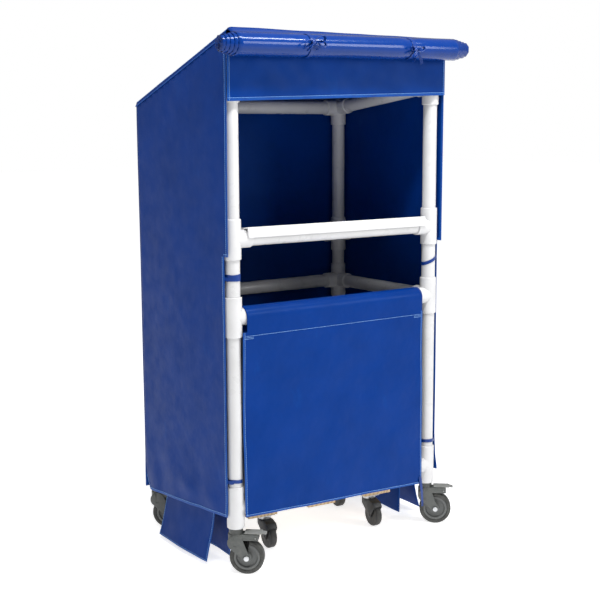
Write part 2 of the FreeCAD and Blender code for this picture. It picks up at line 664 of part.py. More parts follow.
def make_curtain_ties():
    """Two cloth straps round the rolled curtain."""
    ties = []
    for along in ("dims.curtain_tie_left", "dims.curtain_tie_right"):
        tie = band("curtain_tie_%d" % len(ties), "dims.roll_radius + dims.strap_gap",
                   "dims.strap_sheet", "dims.curtain_tie_width")
        ties.append(on_roll(tie, along))
    return group("curtain_ties", ties)


def make_post_ties():
    """Straps that tie the cover's sides to the front posts."""
    ties = []
    for side in (-1, 1):
        for level in ("dims.post_tie_upper", "dims.post_tie_lower"):
            tie = band("post_tie_%d" % len(ties), "dims.pipe_outer / 2 + dims.strap_gap",
                       "dims.strap_sheet", "dims.post_tie_width")
            ties.append(place(tie, x=signed(side, HALF_ACROSS), y=signed(-1, HALF_DEEP), z=level))
    return group("post_ties", ties)


make_rolled_curtain()
make_curtain_ties()
make_post_ties()


# ---------------------------------------------------------------- return flap

def make_return_flap():
    """A sheet that hangs in front of the frame from a sleeve round the front return rail."""
    left = "(dims.flap_left_inset - %s)" % HALF_ACROSS
    right = "(%s - dims.flap_right_inset)" % HALF_ACROSS
    sleeve_left = "(%s + dims.sleeve_end_gap - %s)" % (FITTING_RADIUS, HALF_ACROSS)
    sleeve_inside = "(%s + dims.flap_sleeve_gap)" % FITTING_RADIUS
    sleeve_outside = "(%s + dims.flap_sleeve_sheet)" % sleeve_inside
    body = new_body("flap")
    sheet = new_sketch(body, "flap_outline", "XZ_Plane")
    shoulder = "dims.return_level - dims.flap_shoulder"
    outline(sheet, [(left, "dims.flap_left"), (right, "dims.flap_right"),
                    (right, "dims.return_level"), (sleeve_left, "dims.return_level"),
                    (sleeve_left, shoulder), (left, shoulder)])
    sheet.setExpression("AttachmentOffset.Base.z",
                        "%s - dims.flap_sheet / 2 + dims.post_deep / 2" % sleeve_outside)
    extrude(body, "Pad", sheet, "dims.flap_sheet")
    sleeve = new_sketch(body, "sleeve_section", "YZ_Plane")
    ring(sleeve, [sleeve_outside], across=signed(-1, HALF_DEEP), up="dims.return_level")
    sleeve.setExpression("AttachmentOffset.Base.z", "(%s + %s) / 2" % (sleeve_left, right))
    extrude(body, "Pad", sleeve, "%s - %s" % (right, sleeve_left))
    rail_way = new_sketch(body, "rail_way", "YZ_Plane")
    ring(rail_way, [sleeve_inside], across=signed(-1, HALF_DEEP), up="dims.return_level")
    extrude(body, "Pocket", rail_way, "dims.post_across")
    return keep(body, "return_flap")


make_return_flap()


# ---------------------------------------------------------------- skirts

def make_skirts():
    """Loose strips that hang low between the casters, two on each side."""
    front = "(dims.skirt_front - %s)" % HALF_DEEP
    back = "(%s - dims.skirt_back)" % HALF_DEEP
    high = "(%s - %s - dims.skirt_drop)" % (BASE_LEVEL, FITTING_RADIUS)
    outer_top = "(%s + dims.skirt_outer_top)" % HALF_ACROSS
    outer_bottom = "(%s + dims.skirt_outer_bottom)" % HALF_ACROSS
    outer = []
    inner = []
    for side in (-1, 1):
        strip = sheet_piece("outer_strip_%d" % len(outer), "XZ_Plane", [
            (signed(side, outer_bottom), "dims.skirt_bottom"),
            (signed(side, "(%s + dims.skirt_sheet)" % outer_bottom), "dims.skirt_bottom"),
            (signed(side, "(%s + dims.skirt_sheet)" % outer_top), high),
            (signed(side, outer_top), high)], "%s - %s" % (back, front), middle=True)
        outer.append(place(strip, y="(%s + %s) / 2" % (back, front)))
        strip = sheet_piece("inner_strip_%d" % len(inner), "YZ_Plane", [
            (front, "dims.skirt_bottom"), (back, "dims.skirt_bottom"), (back, high), (front, high)],
            "dims.skirt_sheet", middle=True)
        inner.append(place(strip, x=signed(side, "(%s - dims.skirt_inner)" % HALF_ACROSS)))
    group("outer_skirts", outer)
    group("inner_skirts", inner)


make_skirts()


# ---------------------------------------------------------------- outer casters

CASTER_CORNERS = {"front_left": (-1, -1), "front_right": (1, -1),
                  "back_left": (-1, 1), "back_right": (1, 1)}
STEM_RADIUS = "(%s - dims.stem_gap)" % SOCKET_RADIUS
PEDAL_PIVOT_LEVEL = "(%s - dims.pedal_pivot_drop)" % FORK_TOP


def turned(name, profile):
    """A piece turned about its own upright axis."""
    body = new_body(name)
    sketch = new_sketch(body, name + "_profile", "XZ_Plane")
    outline(sketch, profile)
    turn_round(body, "Revolution", sketch)
    return body


def make_stems():
    """The fixed sleeves in the base sockets, each with the pin that its caster turns on."""
    stems = []
    for side, depth_side in CASTER_CORNERS.values():
        stem = turned("stem_%d" % len(stems), [
            ("0", "-dims.kingpin_length"),
            ("dims.kingpin_radius", "-dims.kingpin_length"),
            ("dims.kingpin_radius", "0"),
            (STEM_RADIUS, "0"),
            (STEM_RADIUS, "dims.stem_length"),
            ("0", "dims.stem_length")])
        stems.append(place(stem, x=signed(side, HALF_ACROSS), y=signed(depth_side, HALF_DEEP),
                           z=STEM_BOTTOM))
    return group("caster_stems", stems)


def fork_body(name, size):
    """A moulded fork: a crown, two legs with round feet, a round head, and the wheel's slot."""
    body = new_body(name)
    for index, (corners, width) in enumerate(size["sides"]):
        side = new_sketch(body, "%s_side_%d" % (name, index), "XZ_Plane")
        outline(side, corners)
        extrude(body, "Pad", side, width)
    for index, (radius, across, up) in enumerate(size["rounds"]):
        round_end = new_sketch(body, "%s_round_%d" % (name, index), "XZ_Plane")
        ring(round_end, [radius], across=across, up=up)
        extrude(body, "Pad", round_end, size["width"])
    head = new_sketch(body, name + "_head", "XZ_Plane")
    rectangle(head, "0", size["head"], "%s - %s" % (size["top"], size["head_depth"]), size["top"])
    turn_round(body, "Revolution", head)
    slot = new_sketch(body, name + "_slot", "XZ_Plane")
    ring(slot, [size["slot_round"]], across=size["trail"], up=size["axle_level"])
    extrude(body, "Pocket", slot, size["slot"])
    pin_hole = new_sketch(body, name + "_pin_hole", "XZ_Plane")
    rectangle(pin_hole, "0", size["pin"] + " + dims.running_gap",
              "%s - %s - dims.pin_end_gap" % (size["top"], size["pin_length"]),
              size["top"] + " + dims.past_face")
    turn_round(body, "Groove", pin_hole)
    return body


def cross_hole(body, name, radius, across, up, width):
    hole = new_sketch(body, name, "XZ_Plane")
    ring(hole, [radius + " + dims.running_gap"], across=across, up=up)
    extrude(body, "Pocket", hole, width)


def on_caster(label, piece, corner):
    """Sets a piece made about a swivel axis under its post, swung round to the front."""
    side, depth_side = CASTER_CORNERS[corner]
    swung = place(compound(label + "_" + corner, [piece]), x=signed(side, HALF_ACROSS),
                  y=signed(depth_side, HALF_DEEP), axis=ALONG_Z, turn="-dims.caster_turn")
    return keep(swung, label + "_" + corner)


LEG_HEAD_LEVEL = "(%s - dims.leg_head_drop)" % FORK_TOP
LEG_FALL = "(%s - dims.wheel_radius)" % LEG_HEAD_LEVEL
LEG_LENGTH = "sqrt(dims.caster_trail ^ 2 + %s ^ 2)" % LEG_FALL
LEG_LEAN = "atan(%s / dims.caster_trail)" % LEG_FALL
LEG_TAPER = "acos((dims.leg_head - dims.leg_round) / %s)" % LEG_LENGTH


def leg_edge(radius, across, up, side):
    """Where a straight edge of a leg touches the round end of that radius."""
    angle = "(%d * %s - %s)" % (side, LEG_TAPER, LEG_LEAN)
    return ("%s + %s * cos(%s)" % (across, radius, angle), "%s + %s * sin(%s)" % (up, radius, angle))


def make_fork(corner):
    """The grey fork: a crown over the wheel and two teardrop legs down to the axle."""
    name = "caster_moulding_" + corner
    foot = ("dims.leg_round", "dims.caster_trail", "dims.wheel_radius")
    leg_top = ("dims.leg_head", "0", LEG_HEAD_LEVEL)
    crown_under = "%s - dims.crown_depth" % FORK_TOP
    body = fork_body(name, {
        "sides": [([("0", FORK_TOP), ("dims.crown_end", FORK_TOP),
                    ("dims.crown_end", crown_under), ("0", crown_under)], "dims.crown_width"),
                  ([leg_edge(*leg_top, 1), leg_edge(*leg_top, -1),
                    leg_edge(*foot, -1), leg_edge(*foot, 1)], "dims.fork_width")],
        "width": "dims.fork_width", "rounds": [leg_top, foot],
        "trail": "dims.caster_trail", "axle_level": "dims.wheel_radius",
        "top": FORK_TOP, "head": "dims.fork_head_radius", "head_depth": "dims.fork_head_depth",
        "slot": "dims.fork_slot", "slot_round": "dims.wheel_radius + dims.fork_clearance",
        "pin": "dims.kingpin_radius", "pin_length": "dims.kingpin_length"})
    across_all = "dims.fork_width + 2 * dims.past_face"
    cross_hole(body, name + "_axle_hole", "dims.axle_radius", "dims.caster_trail", "dims.wheel_radius",
               across_all)
    cross_hole(body, name + "_pedal_hole", "dims.pedal_pin_radius", "dims.pedal_pivot_out",
               PEDAL_PIVOT_LEVEL, across_all)
    room = "(dims.pedal_knuckle + dims.pedal_swing_gap)"
    notch = new_sketch(body, name + "_notch", "XZ_Plane")
    rectangle(notch, "dims.pedal_pivot_out - " + room, "dims.pedal_pivot_out + " + room,
              "%s - dims.pedal_knuckle - dims.pedal_side_gap" % PEDAL_PIVOT_LEVEL,
              FORK_TOP + " + dims.past_face")
    extrude(body, "Pocket", notch, "dims.pedal_knuckle_width + 2 * dims.pedal_side_gap")
    return on_caster("caster_fork", body, corner)


def on_axle(piece):
    """Lays a turned piece along the wheel's axle."""
    return place(piece, x="dims.caster_trail", z="dims.wheel_radius", axis=ALONG_X, turn="90")


def make_axle(corner):
    """A bolt through both legs, with a round head at each end."""
    half = "(dims.fork_width / 2 + dims.running_gap)"
    end = "(%s + dims.axle_head_depth)" % half
    bolt = turned("axle_bolt_" + corner, [
        ("0", "-" + end), ("dims.axle_head", "-" + end), ("dims.axle_head", "-" + half),
        ("dims.axle_radius", "-" + half), ("dims.axle_radius", half),
        ("dims.axle_head", half), ("dims.axle_head", end), ("0", end)])
    return on_caster("caster_axle", on_axle(bolt), corner)


def make_hub(corner):
    """A moulded wheel centre: a boss on the axle, a thin web and a rim."""
    bore = "(dims.axle_radius + dims.running_gap)"
    web_end = "(dims.hub_radius - dims.hub_rim)"
    half = [(bore, "dims.boss_width / 2"), ("dims.boss_radius", "dims.boss_width / 2"),
            ("dims.boss_radius + dims.hub_slope", "dims.hub_web / 2"),
            (web_end + " - dims.hub_slope", "dims.hub_web / 2"),
            (web_end, "dims.hub_width / 2"), ("dims.hub_radius", "dims.hub_width / 2")]
    profile = half + [(across, "-" + up) for across, up in reversed(half)]
    return on_caster("caster_hub", on_axle(turned("wheel_centre_" + corner, profile)), corner)


def make_tyre(corner):
    inside = "(dims.hub_radius + dims.rim_gap)"
    half = [(inside, "dims.hub_width / 2"), (inside + " + dims.tyre_shoulder", "dims.wheel_width / 2"),
            ("dims.wheel_radius - dims.tyre_shoulder", "dims.wheel_width / 2"),
            ("dims.wheel_radius", "dims.wheel_width / 2 - dims.tyre_shoulder")]
    profile = half + [(across, "-(%s)" % up) for across, up in reversed(half)]
    return on_caster("caster_tyre", on_axle(turned("tread_" + corner, profile)), corner)


def make_pedal(corner):
    """The brake pedal: a rocking tongue over the crown with a knuckle and a pin below it."""
    name = "pedal_lever_" + corner
    under = "(%s + dims.pedal_rise)" % FORK_TOP
    top = "(%s + dims.pedal_sheet)" % under
    body = new_body(name)
    tongue = new_sketch(body, name + "_tongue", "XZ_Plane")
    rectangle(tongue, "dims.pedal_start", "dims.pedal_bend", under, top)
    extrude(body, "Pad", tongue, "dims.pedal_width")
    tip = new_sketch(body, name + "_tip", "XZ_Plane")
    outline(tip, [("dims.pedal_bend - dims.past_face", under), ("dims.pedal_bend", under),
                  ("dims.pedal_end", under + " - dims.pedal_tip_drop"),
                  ("dims.pedal_end", top + " - dims.pedal_tip_drop"),
                  ("dims.pedal_bend", top), ("dims.pedal_bend - dims.past_face", top)])
    extrude(body, "Pad", tip, "dims.pedal_tip_width")
    neck = new_sketch(body, name + "_neck", "XZ_Plane")
    rectangle(neck, "dims.pedal_pivot_out - dims.pedal_knuckle", "dims.pedal_pivot_out + dims.pedal_knuckle",
              PEDAL_PIVOT_LEVEL, under + " + dims.past_face")
    extrude(body, "Pad", neck, "dims.pedal_knuckle_width")
    knuckle = new_sketch(body, name + "_knuckle", "XZ_Plane")
    ring(knuckle, ["dims.pedal_knuckle"], across="dims.pedal_pivot_out", up=PEDAL_PIVOT_LEVEL)
    extrude(body, "Pad", knuckle, "dims.pedal_knuckle_width")
    pin = new_sketch(body, name + "_pin", "XZ_Plane")
    ring(pin, ["dims.pedal_pin_radius"], across="dims.pedal_pivot_out", up=PEDAL_PIVOT_LEVEL)
    extrude(body, "Pad", pin, "dims.fork_width")
    return on_caster("brake_pedal", body, corner)


make_stems()
for corner in CASTER_CORNERS:
    make_fork(corner)
    make_axle(corner)
    make_hub(corner)
    make_tyre(corner)
    make_pedal(corner)


# ---------------------------------------------------------------- bin on its dolly

def on_dolly(label, pieces):
    """Sets pieces made about the dolly's middle where the dolly is parked, a little askew."""
    parked = place(compound(label, pieces), x="dims.dolly_right", y="-dims.dolly_forward",
                   axis=ALONG_Z, turn="-dims.dolly_turn")
    return keep(parked, label)


DOLLY_FORK_TOP = "(2 * dims.dolly_wheel_radius + dims.dolly_fork_clearance + dims.dolly_crown_thick)"
RUNNER_UNDER = "(%s + dims.dolly_fork_drop)" % DOLLY_FORK_TOP
RUNNER_TOP = "(%s + dims.runner_thick)" % RUNNER_UNDER
BIN_ACROSS = "(dims.post_across - 2 * dims.bin_room_across)"
BIN_DEEP = "(dims.post_deep - 2 * dims.bin_room_deep)"
RUNNER_LENGTH = "(%s - 2 * dims.runner_inset)" % BIN_DEEP
RUNNER_SPACING = "((%s - dims.runner_width) / 2 - dims.runner_setback)" % BIN_ACROSS
BIN_BASE = "(%s + dims.rest_gap)" % RUNNER_TOP
BIN_WALL_BASE = "(%s + dims.bin_floor_sheet)" % BIN_BASE
BOLT_PLACES = [signed(end, "(%s / 2 - dims.bolt_from_end)" % RUNNER_LENGTH) for end in (-1, 1)]


def make_runners():
    """Three boards under the bin; the middle one is drilled for its two bolts."""
    runners = []
    for step in (-1, 0, 1):
        centre = signed(step, RUNNER_SPACING)
        board = block("runner_%d" % len(runners), "dims.runner_width", RUNNER_LENGTH,
                      "dims.runner_thick", x="%s - dims.runner_width / 2" % centre,
                      y="-%s / 2" % RUNNER_LENGTH, z=RUNNER_UNDER)
        if step == 0:
            holes = [cylinder("bolt_hole_%d" % index, "dims.bolt_radius + dims.running_gap",
                              "dims.runner_thick", y=bolt_y, z=RUNNER_UNDER)
                     for index, bolt_y in enumerate(BOLT_PLACES)]
            board = cut("drilled_runner", board, fuse("bolt_holes", holes))
        runners.append(board)
    return on_dolly("dolly_runners", runners)


def make_runner_bolts():
    bolts = []
    for bolt_y in BOLT_PLACES:
        bolt = turned("runner_bolt_%d" % len(bolts), [
            ("0", "-dims.bolt_head_depth"), ("dims.bolt_head", "-dims.bolt_head_depth"),
            ("dims.bolt_head", "0"), ("dims.bolt_radius", "0"),
            ("dims.bolt_radius", "dims.runner_thick"), ("0", "dims.runner_thick")])
        bolts.append(place(bolt, y=bolt_y, z=RUNNER_UNDER))
    return on_dolly("runner_bolts", bolts)


def make_bin():
    """A plain sheet bin: a floor, two long walls and two short walls between them."""
    floor = block("bin_base", BIN_ACROSS, BIN_DEEP, "dims.bin_floor_sheet",
                  x="-%s / 2" % BIN_ACROSS, y="-%s / 2" % BIN_DEEP, z=BIN_BASE)
    on_dolly("bin_floor", [floor])
    high = "dims.bin_top - %s" % BIN_WALL_BASE
    walls = []
    for side in (-1, 1):
        long_middle = signed(side, "(%s - dims.bin_wall) / 2" % BIN_DEEP)
        long_wall = block("long_wall_%d" % side, BIN_ACROSS, "dims.bin_wall", high,
                          x="-%s / 2" % BIN_ACROSS, y=long_middle + " - dims.bin_wall / 2",
                          z=BIN_WALL_BASE)
        short_middle = signed(side, "(%s - dims.bin_wall) / 2" % BIN_ACROSS)
        short_wall = block("short_wall_%d" % side, "dims.bin_wall", BIN_DEEP + " - 2 * dims.bin_wall", high,
                           x=short_middle + " - dims.bin_wall / 2",
                           y="dims.bin_wall - %s / 2" % BIN_DEEP, z=BIN_WALL_BASE)
        walls += [long_wall, short_wall]
    return on_dolly("bin_walls", walls)


make_runners()
make_runner_bolts()
make_bin()

PLATE_UNDER = "(%s - dims.dolly_plate_sheet)" % RUNNER_UNDER
RACE_UNDER = "(%s + dims.caster_gap)" % DOLLY_FORK_TOP


def dolly_place(side, depth_side):
    """A dolly caster's swivel axis: near the end of an outer runner."""
    return (signed(side, "(%s - dims.dolly_inset_across)" % RUNNER_SPACING),
            signed(depth_side, "(%s / 2 - dims.dolly_inset_deep)" % RUNNER_LENGTH))


def make_dolly_plates():
    """Top plates under the runners, each with its raceway and swivel pin."""
    plates = []
    for side, depth_side in CASTER_CORNERS.values():
        x, y = dolly_place(side, depth_side)
        name = "dolly_plate_%d" % len(plates)
        plate = block(name + "_top", "dims.dolly_plate", "dims.dolly_plate", "dims.dolly_plate_sheet",
                      x="-dims.dolly_plate / 2", y="-dims.dolly_plate / 2", z=PLATE_UNDER)
        race = cylinder(name + "_race", "dims.dolly_race_radius",
                        "%s - %s" % (PLATE_UNDER, RACE_UNDER), z=RACE_UNDER)
        pin = cylinder(name + "_pin", "dims.dolly_pin_radius", "dims.dolly_pin_length + dims.past_face",
                       z="%s - dims.dolly_pin_length" % RACE_UNDER)
        plates.append(place(fuse(name, [plate, race, pin]), x=x, y=y))
    return on_dolly("dolly_caster_plates", plates)


def make_dolly_fork(label, x, y):
    """A small fork that trails forward, with its axle riveted through the legs."""
    name = label + "_moulding"
    body = fork_body(name, {
        "sides": [([("-dims.dolly_leg_back", DOLLY_FORK_TOP),
                    ("dims.dolly_crown_back", DOLLY_FORK_TOP),
                    ("dims.dolly_crown_brow", DOLLY_FORK_TOP + " - dims.dolly_crown_brow_drop"),
                    ("dims.dolly_crown_lip", DOLLY_FORK_TOP + " - dims.dolly_crown_lip_drop"),
                    ("dims.dolly_trail + dims.dolly_leg_round", "dims.dolly_wheel_radius"),
                    ("dims.dolly_trail - dims.dolly_leg_round", "dims.dolly_wheel_radius"),
                    ("-dims.dolly_leg_back", DOLLY_FORK_TOP + " - dims.dolly_crown_lip_drop")],
                   "dims.dolly_fork_width")],
        "width": "dims.dolly_fork_width",
        "rounds": [("dims.dolly_leg_round", "dims.dolly_trail", "dims.dolly_wheel_radius")],
        "trail": "dims.dolly_trail", "axle_level": "dims.dolly_wheel_radius",
        "top": DOLLY_FORK_TOP, "head": "dims.dolly_head_radius", "head_depth": "dims.dolly_head_depth",
        "slot": "dims.dolly_fork_slot", "slot_round": "dims.dolly_wheel_radius + dims.dolly_fork_clearance",
        "pin": "dims.dolly_pin_radius", "pin_length": "dims.dolly_pin_length"})
    axle = new_sketch(body, name + "_axle", "XZ_Plane")
    ring(axle, ["dims.dolly_axle_radius"], across="dims.dolly_trail", up="dims.dolly_wheel_radius")
    extrude(body, "Pad", axle, "dims.dolly_fork_width + 2 * dims.dolly_rivet")
    place(body, x=x, y=y, axis=ALONG_Z, turn="-90")
    return on_dolly(label, [body])


def make_dolly_wheel(label, x, y):
    bore = "(dims.dolly_axle_radius + dims.running_gap)"
    half = [(bore, "dims.dolly_wheel_width / 2"),
            ("dims.dolly_wheel_radius - dims.dolly_shoulder", "dims.dolly_wheel_width / 2"),
            ("dims.dolly_wheel_radius", "dims.dolly_wheel_width / 2 - dims.dolly_shoulder")]
    profile = half + [(across, "-(%s)" % up) for across, up in reversed(half)]
    wheel = turned(label + "_tread", profile)
    place(wheel, x=x, y=y + " - dims.dolly_trail", z="dims.dolly_wheel_radius", axis=ALONG_Y, turn="90")
    return on_dolly(label, [wheel])


make_dolly_plates()
for corner, (side, depth_side) in CASTER_CORNERS.items():
    dolly_x, dolly_y = dolly_place(side, depth_side)
    make_dolly_fork("dolly_fork_" + corner, dolly_x, dolly_y)
    make_dolly_wheel("dolly_wheel_" + corner, dolly_x, dolly_y)


# ---------------------------------------------------------------- check and write

doc.recompute()

for item in doc.Objects:
    faults = [word for word in ("Invalid", "Error") if word in item.State]
    if faults:
        raise RuntimeError("%s is %s" % (item.Label, faults))

labels = [piece.Label for piece in sub_parts]
if len(set(labels)) != len(labels):
    raise RuntimeError("two sub-parts share a name")

os.makedirs("parts", exist_ok=True)
for piece in sub_parts:
    shape = piece.Shape
    if shape.isNull() or not shape.isValid() or not shape.Solids:
        raise RuntimeError("%s has no valid solid" % piece.Label)
    shape.exportStep("parts/%s.step" % piece.Label)
print("%d sub-parts written" % len(sub_parts))
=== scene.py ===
"""Looks of the towel and linen trolley, built round its fixed frame.

Each section makes one piece, or one group of like pieces, in the order the trolley is put
together.  Lengths are in metres; +X is the user's right, +Y goes to the back and +Z is up.
"""

import json
import math

import bmesh
import bpy
from mathutils import Matrix, Vector, noise


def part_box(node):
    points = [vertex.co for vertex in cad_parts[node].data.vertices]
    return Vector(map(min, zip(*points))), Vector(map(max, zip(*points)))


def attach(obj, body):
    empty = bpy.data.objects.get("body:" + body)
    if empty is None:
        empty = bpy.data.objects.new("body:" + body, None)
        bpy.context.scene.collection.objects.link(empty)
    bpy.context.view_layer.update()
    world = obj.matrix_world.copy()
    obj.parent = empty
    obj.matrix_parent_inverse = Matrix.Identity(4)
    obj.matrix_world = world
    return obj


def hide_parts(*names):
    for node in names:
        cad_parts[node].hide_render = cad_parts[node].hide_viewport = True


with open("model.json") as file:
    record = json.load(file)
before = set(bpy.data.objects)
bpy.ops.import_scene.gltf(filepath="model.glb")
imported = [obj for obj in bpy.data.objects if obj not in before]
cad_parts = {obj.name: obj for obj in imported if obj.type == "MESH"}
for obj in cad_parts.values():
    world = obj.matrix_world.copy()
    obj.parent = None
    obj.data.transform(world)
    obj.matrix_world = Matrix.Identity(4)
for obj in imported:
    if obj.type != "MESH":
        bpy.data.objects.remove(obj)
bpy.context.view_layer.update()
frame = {"nodes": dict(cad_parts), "record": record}


# ---------------------------------------------------------------- pipe frame
# White plastic pipe pushed into moulded tees and elbows.  The pipe is extruded, with a soft
# gloss, faint draw lines and a few scuffs; the fittings are moulded and slightly duller.

def finish(name, colour, roughness, **plain):
    """A material whose even values are set on the shader's own sockets."""
    material = bpy.data.materials.new(name)
    material.use_nodes = True
    sockets = material.node_tree.nodes["Principled BSDF"].inputs
    sockets["Base Color"].default_value = (*colour, 1)
    sockets["Roughness"].default_value = roughness
    for socket, value in plain.items():
        sockets[socket.replace("_", " ")].default_value = value
    return material


def pattern(material, kind, scale, stretch=(1, 1, 1), cloth=False, **values):
    """A texture on the piece's own coordinates, or on the flat cloth's; gives its output."""
    nodes = material.node_tree.nodes
    links = material.node_tree.links
    mapping = nodes.new("ShaderNodeMapping")
    mapping.inputs["Scale"].default_value = stretch
    if cloth:
        source = nodes.new("ShaderNodeUVMap")
        source.uv_map = "cloth"
        links.new(source.outputs["UV"], mapping.inputs["Vector"])
    else:
        source = nodes.new("ShaderNodeTexCoord")
        links.new(source.outputs["Object"], mapping.inputs["Vector"])
    texture = nodes.new(kind)
    texture.inputs["Scale"].default_value = scale
    for socket, value in values.items():
        if socket in texture.inputs:
            texture.inputs[socket].default_value = value
        else:
            setattr(texture, socket, value)
    links.new(mapping.outputs["Vector"], texture.inputs["Vector"])
    return texture.outputs["Fac"]


def shader_of(material):
    return material.node_tree.nodes["Principled BSDF"]


def relief(material, height, strength, depth):
    """Raises the surface by a texture, on top of any relief that is there already."""
    links = material.node_tree.links
    bump = material.node_tree.nodes.new("ShaderNodeBump")
    bump.inputs["Strength"].default_value = strength
    bump.inputs["Distance"].default_value = depth
    normal = shader_of(material).inputs["Normal"]
    if normal.links:
        links.new(normal.links[0].from_socket, bump.inputs["Normal"])
    links.new(height, bump.inputs["Height"])
    links.new(bump.outputs["Normal"], normal)


def stretched(material, texture, low, high, to_low=0.0, to_high=1.0):
    """The part of a texture from low to high, spread over another range."""
    spread = material.node_tree.nodes.new("ShaderNodeMapRange")
    spread.inputs["From Min"].default_value = low
    spread.inputs["From Max"].default_value = high
    spread.inputs["To Min"].default_value = to_low
    spread.inputs["To Max"].default_value = to_high
    material.node_tree.links.new(texture, spread.inputs["Value"])
    return spread.outputs["Result"]


def mottle(material, texture, colour, low=0.35, high=0.7):
    """Turns the base colour towards another where a texture is strong."""
    links = material.node_tree.links
    mix = material.node_tree.nodes.new("ShaderNodeMixRGB")
    base = shader_of(material).inputs["Base Color"]
    if base.links:
        links.new(base.links[0].from_socket, mix.inputs["Color1"])
    else:
        mix.inputs["Color1"].default_value = base.default_value
    mix.inputs["Color2"].default_value = (*colour, 1)
    links.new(stretched(material, texture, low, high), mix.inputs["Fac"])
    links.new(mix.outputs["Color"], base)


def roughen(material, texture, low, high):
    """Lets the roughness wander between two values with a texture."""
    spread = stretched(material, texture, 0.3, 0.7, low, high)
    material.node_tree.links.new(spread, shader_of(material).inputs["Roughness"])


def paint(material, *nodes):
    """Gives fixed parts their finish."""
    for node in nodes:
        for slot in frame["nodes"][node].material_slots:
            slot.material = material


NOISE = "ShaderNodeTexNoise"
WAVE = "ShaderNodeTexWave"

PIPE_WHITE = (0.63, 0.63, 0.635)
PIPE_DULL = (0.57, 0.57, 0.57)
FITTING_WHITE = (0.65, 0.65, 0.655)
SCUFF_GREY = (0.50, 0.49, 0.47)


def pipe_finish(name, stretch):
    """Extruded plastic whose draw lines follow the given stretch."""
    material = finish(name, PIPE_WHITE, 0.3, Specular_IOR_Level=0.5, Coat_Weight=0.15)
    mottle(material, pattern(material, NOISE, 9, Detail=4.0), PIPE_DULL, 0.4, 0.75)
    scuffs = pattern(material, NOISE, 60, (1, 1, 0.25), Detail=6.0, Roughness=0.7)
    mottle(material, scuffs, SCUFF_GREY, 0.68, 0.95)
    draw_lines = pattern(material, NOISE, 500, stretch, Detail=2.0)
    relief(material, draw_lines, 0.12, 0.0004)
    roughen(material, pattern(material, NOISE, 35, Detail=5.0), 0.24, 0.42)
    return material


post_plastic = pipe_finish("post_plastic", (1, 1, 0.01))
rail_plastic = pipe_finish("rail_plastic", (0.08, 0.08, 1))
paint(post_plastic, "lower_post_pipes", "middle_post_pipes", "upper_post_pipes", "front_top_pipes")
paint(rail_plastic, "base_rails", "return_rails", "shelf_rails", "top_rails", "valance_rail")

fitting_plastic = finish("fitting_plastic", FITTING_WHITE, 0.4, Specular_IOR_Level=0.5)
mottle(fitting_plastic, pattern(fitting_plastic, NOISE, 14, Detail=5.0), PIPE_DULL, 0.45, 0.8)
relief(fitting_plastic, pattern(fitting_plastic, NOISE, 1400, Detail=2.0), 0.15, 0.0003)
roughen(fitting_plastic, pattern(fitting_plastic, NOISE, 40, Detail=4.0), 0.32, 0.5)
paint(fitting_plastic, "base_fittings", "return_fittings", "shelf_fittings", "top_fittings",
      "valance_elbows")

PIPE_RADIUS = 0.0211
posts_low, posts_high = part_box("lower_post_pipes")
post_left = posts_low.x + PIPE_RADIUS
post_right = posts_high.x - PIPE_RADIUS
post_front = posts_low.y + PIPE_RADIUS
post_back = posts_high.y - PIPE_RADIUS
middle_x = (post_left + post_right) / 2


# ---------------------------------------------------------------- shelf
# One folded sheet of white plastic with a front lip.  It lies on the shelf fittings, and its
# folds and cut edges are slightly rounded.

WELD = 2e-6
FLAT_ENOUGH = math.radians(0.5)


def eased_copy(node, ease, crease=30, rounds=2):
    """A bmesh of a fixed part with its sharp edges rounded over."""
    bm = bmesh.new()
    bm.from_mesh(frame["nodes"][node].data)
    bmesh.ops.remove_doubles(bm, verts=bm.verts, dist=WELD)
    bmesh.ops.dissolve_limit(bm, angle_limit=FLAT_ENOUGH, verts=bm.verts, edges=bm.edges)
    sharp = [edge for edge in bm.edges
             if len(edge.link_faces) == 2 and edge.calc_face_angle() > math.radians(crease)]
    bmesh.ops.bevel(bm, geom=sharp, offset=ease, offset_type="OFFSET", affect="EDGES",
                    segments=rounds, profile=0.5, clamp_overlap=False, material=-1)
    return bm


def show(name, bm, material, body, crease=40):
    """Turns a bmesh into a piece that rides on a body of the frame."""
    mesh = bpy.data.meshes.new(name)
    bm.to_mesh(mesh)
    bm.free()
    mesh.materials.append(material)
    mesh.shade_smooth()
    mesh.set_sharp_from_angle(angle=math.radians(crease))
    piece = bpy.data.objects.new(name, mesh)
    bpy.context.scene.collection.objects.link(piece)
    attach(piece, body)
    return piece


TRAY_EASE = 0.0012
TRAY_WHITE = (0.68, 0.68, 0.685)

tray_plastic = finish("tray_plastic", TRAY_WHITE, 0.42, Specular_IOR_Level=0.45)
mottle(tray_plastic, pattern(tray_plastic, NOISE, 11, Detail=5.0), PIPE_WHITE, 0.4, 0.8)
relief(tray_plastic, pattern(tray_plastic, NOISE, 900, Detail=3.0), 0.12, 0.0003)
roughen(tray_plastic, pattern(tray_plastic, NOISE, 25, Detail=6.0), 0.34, 0.52)

tray = show("shelf_sheet", eased_copy("shelf_tray", TRAY_EASE), tray_plastic, "frame")
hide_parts("shelf_tray")


# ---------------------------------------------------------------- cover sides
# Two hanging sides of blue coated cloth.  Each is cut with a step in its front edge and a cut
# lower back corner, is bound along its front edge, hemmed below, and sewn with light thread.

VINYL_BLUE = (0.0005, 0.030, 0.205)
# The next two blues are painted into the vinyl's colour: the darker one as painted shade, the paler one as
# painted sheen.
VINYL_PAINTED_SHADE = (0.0005, 0.025, 0.170)
VINYL_PAINTED_SHEEN = (0.0005, 0.050, 0.260)
BINDING_BLUE = (0.001, 0.058, 0.290)
SHEEN_BLUE = (0.25, 0.55, 1.0, 1.0)
THREAD_BLUE = (0.22, 0.42, 0.74)
VINYL_THICK = 0.0012


